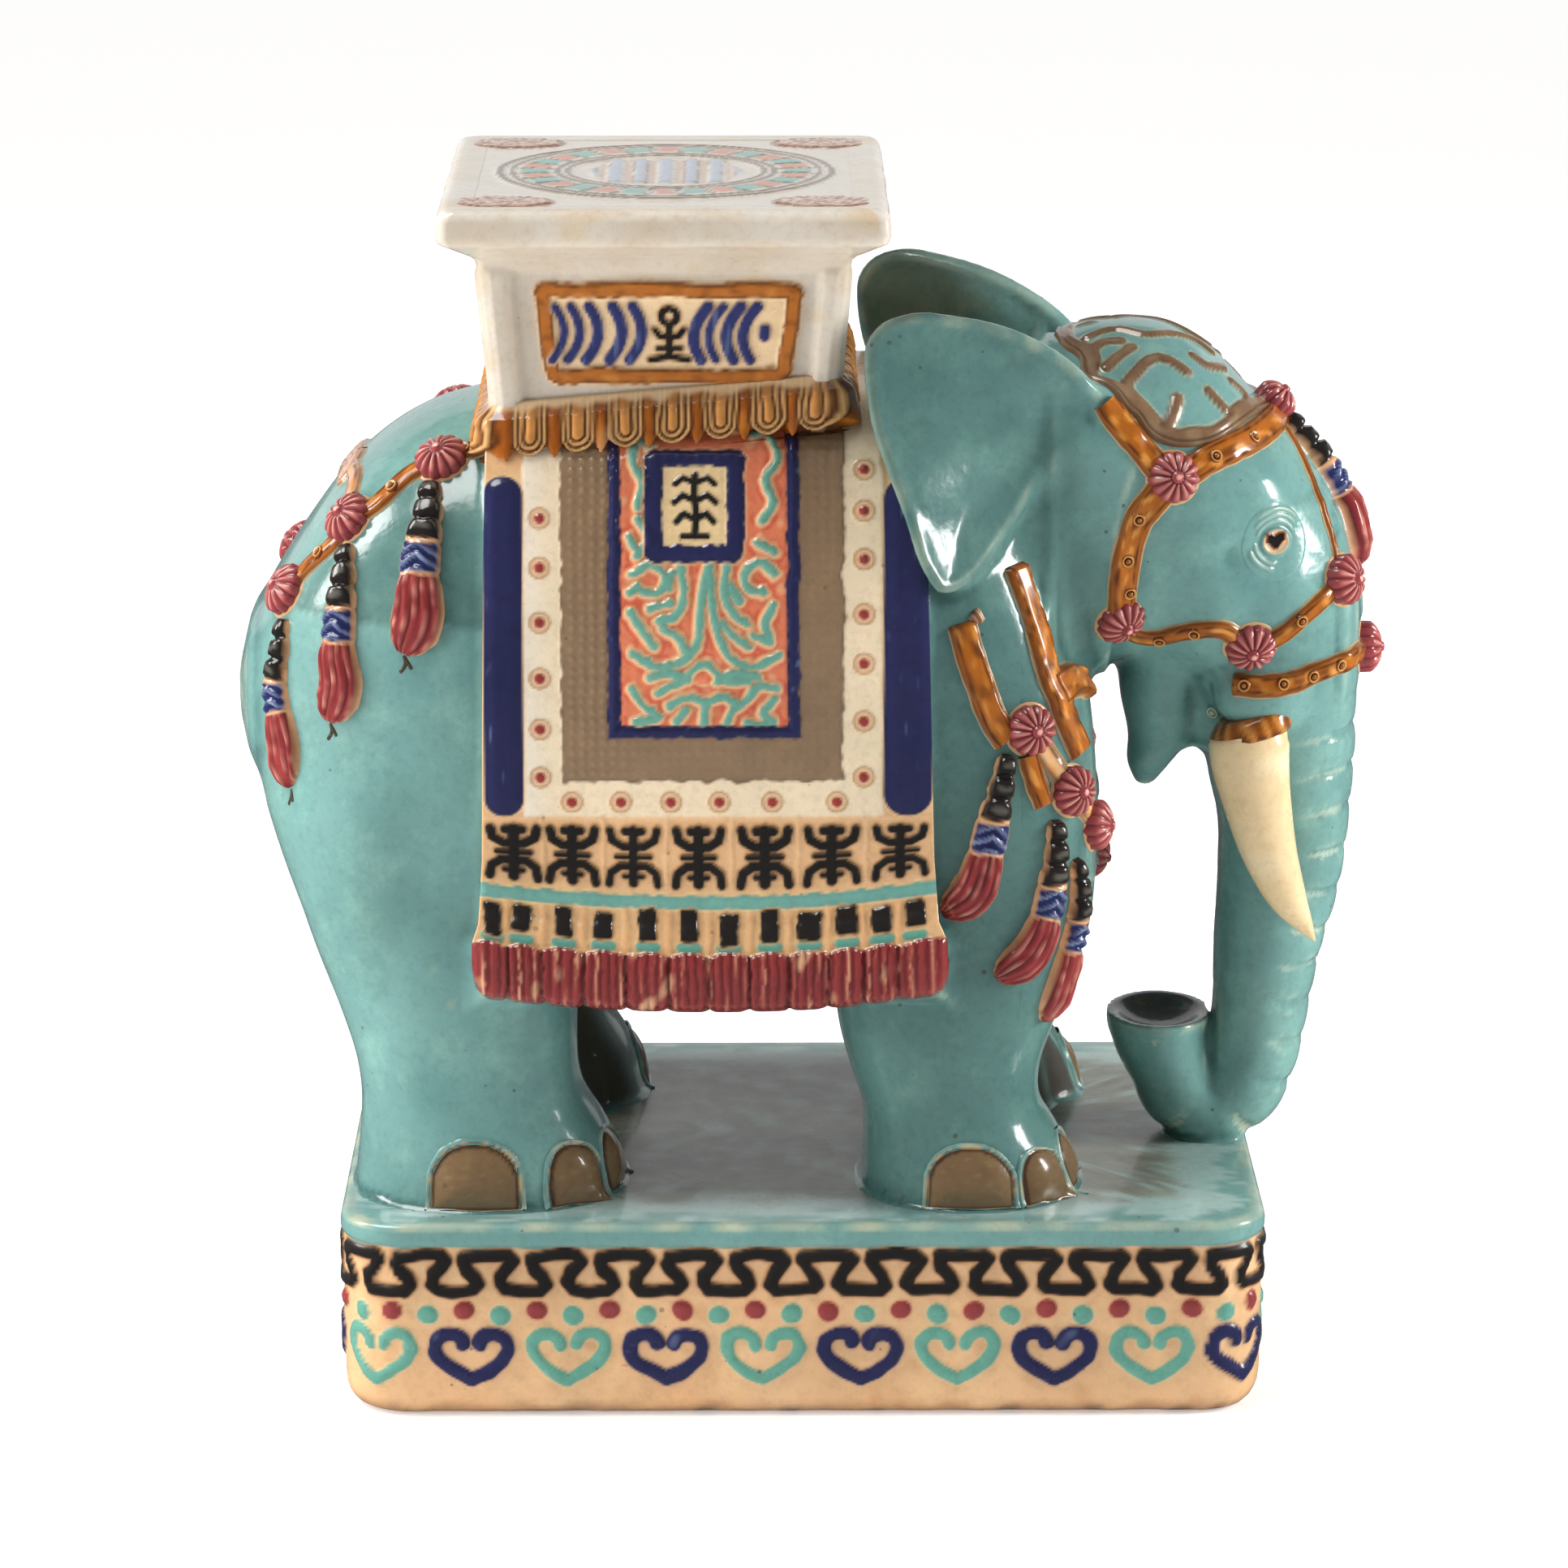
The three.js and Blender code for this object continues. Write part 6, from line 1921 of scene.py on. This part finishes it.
def build_cap():
    near = curve(CAP_EDGE, 112)
    points, share = cap_points(np.vstack([near, near[-2:0:-1] * [1, -1, 1]]))
    ring = points[:, np.argmin(np.abs(share - 1))]
    d = near_line(points, np.vstack([ring, ring[:1]])) * np.where(share < 1, 1, -1)[None, :]
    r = Relief(points[..., 0], points[..., 2] + points[..., 1] * 0.3, TURQUOISE, 0.0)
    r.patches(30, 161, 0.2, 1.3, 0.5, ink(150, 190, 176))
    r.patches(16, 163, 0.3, 1.3, 0.4, ink(128, 150, 176))
    r.height += 2.6 * smooth(-1.6, 0.4, d) - 1.8
    # The border and the scrolls are one brown relief, the same on both sides.
    folded = np.where(points[..., 1:2] > 0, points * [1, -1, 1], points)
    marks = d - 7.5 - 1.6 * ripple(r.a, r.b, 18, 162)
    for pixels in CAP_SCROLLS:
        stroke = curve(cast(pixels), 14)
        stroke = stroke[np.concatenate([[True], np.linalg.norm(np.diff(stroke, axis=0), axis=1) < 12])]
        marks = blend(marks, near_line(folded, stroke) - 2.7, 3)
    r.tint(smooth(1.5, 0.4, marks) * 0.6, ink(196, 196, 160))
    r.tint(smooth(0.5, -0.4, marks), ink(118, 90, 66), 0.1)
    r.patches(12, 164, -0.4, 1.0, smooth(-0.6, -2.4, marks) * 0.5, ink(152, 128, 100))
    r.tint(line_at(marks, 0, 0.9, 0.2) * 0.4, ink(78, 56, 40))
    r.height += 1.5 * smooth(0.7, -1.8, marks) * smooth(-0.4, 1.2, d)
    r.height -= 0.7 * line_at(d, 2.4, 0.9, 0.2)
    r.tint(line_at(d, 2.4, 0.8, 0.2) * 0.6, ink(70, 48, 34))
    piece = Piece()
    piece.sheet(points, slope(points, 5), r, wrap=True)
    piece.build("head_cap", PAINTED, "turquoise_glaze")


def put(name, data):
    """A new object in the scene."""
    obj = bpy.data.objects.new(name, data)
    bpy.context.scene.collection.objects.link(obj)
    return obj


def aim(obj, way):
    """Turns a light or a camera to look along a way."""
    obj.rotation_euler = Vector(way).to_track_quat("-Z", "Y").to_euler()


def area(name, at, size, power, colour, seen=True):
    """A soft box light that looks at the stool. The glaze mirrors it only if it is `seen`."""
    lamp = bpy.data.lights.new(name, "AREA")
    lamp.shape = "RECTANGLE"
    lamp.size, lamp.size_y = size
    lamp.energy = power
    lamp.color = colour
    obj = put(name, lamp)
    obj.location = at
    obj.visible_glossy = seen
    aim(obj, Vector((0, 0, 0.3)) - Vector(at))


def build_floor():
    """A pale floor that glows a little, and that the glaze doesn't mirror."""
    mesh = bpy.data.meshes.new("floor")
    half = 12
    corners = [(-half, -half, 0), (half, -half, 0), (half, half, 0), (-half, half, 0)]
    mesh.from_pydata(corners, [], [(0, 1, 2, 3)])
    floor = put("floor", mesh)
    plain = bpy.data.materials.new("studio_floor")
    plain.use_nodes = True
    paint = plain.node_tree.nodes["Principled BSDF"]
    paint.inputs["Base Color"].default_value = (0.93, 0.93, 0.93, 1)
    paint.inputs["Roughness"].default_value = 0.7
    paint.inputs["Emission Color"].default_value = (1, 1, 1, 1)
    paint.inputs["Emission Strength"].default_value = 0.34
    mesh.materials.append(plain)
    floor.visible_glossy = False


def build_lights():
    world = bpy.data.worlds.new("studio")
    bpy.context.scene.world = world
    world.use_nodes = True
    sky = world.node_tree.nodes["Background"]
    sky.inputs["Color"].default_value = (0.95, 0.97, 1.0, 1)
    sky.inputs["Strength"].default_value = 0.12
    lamp = bpy.data.lights.new("soft_sun", "SUN")
    lamp.energy = 2.1
    lamp.angle = math.radians(32)
    lamp.color = (1, 0.985, 0.96)
    aim(put("soft_sun", lamp), (0.4, 0.05, -1.0))
    # Two wide fills that leave no reflection, and three boxes that do.
    area("left_fill", (-1.5, -0.5, 0.5), (1.0, 1.0), 20, (1, 0.98, 0.95), seen=False)
    area("right_fill", (1.35, -0.2, 0.6), (0.8, 0.8), 13, (1, 0.99, 0.97), seen=False)
    area("left_box", (-1.4, 0.1, 1.1), (0.35, 0.7), 9, (1, 0.98, 0.95))
    area("right_box", (1.3, -0.12, 0.68), (0.24, 0.45), 7, (1, 0.99, 0.97))
    area("sweep", (0, 3.0, 1.0), (5.5, 1.8), 16, (1, 1, 1))


def build_camera():
    lens = bpy.data.cameras.new("camera")
    lens.sensor_width = 36
    lens.lens = FOCAL / PHOTO * lens.sensor_width
    camera = put("camera", lens)
    camera.location = Vector(CAMERA / 1000)
    aim(camera, FORWARD)
    scene = bpy.context.scene
    scene.camera = camera
    scene.view_settings.view_transform = "Standard"
    scene.view_settings.look = "None"


build_body()
build_plinth()
build_cloth()
build_seat()
build_seat_top()
build_frill()
build_harness()
build_tusks()
build_tusk_bands()
build_toes()
build_eyes()
build_cap()
build_floor()
build_lights()
build_camera()
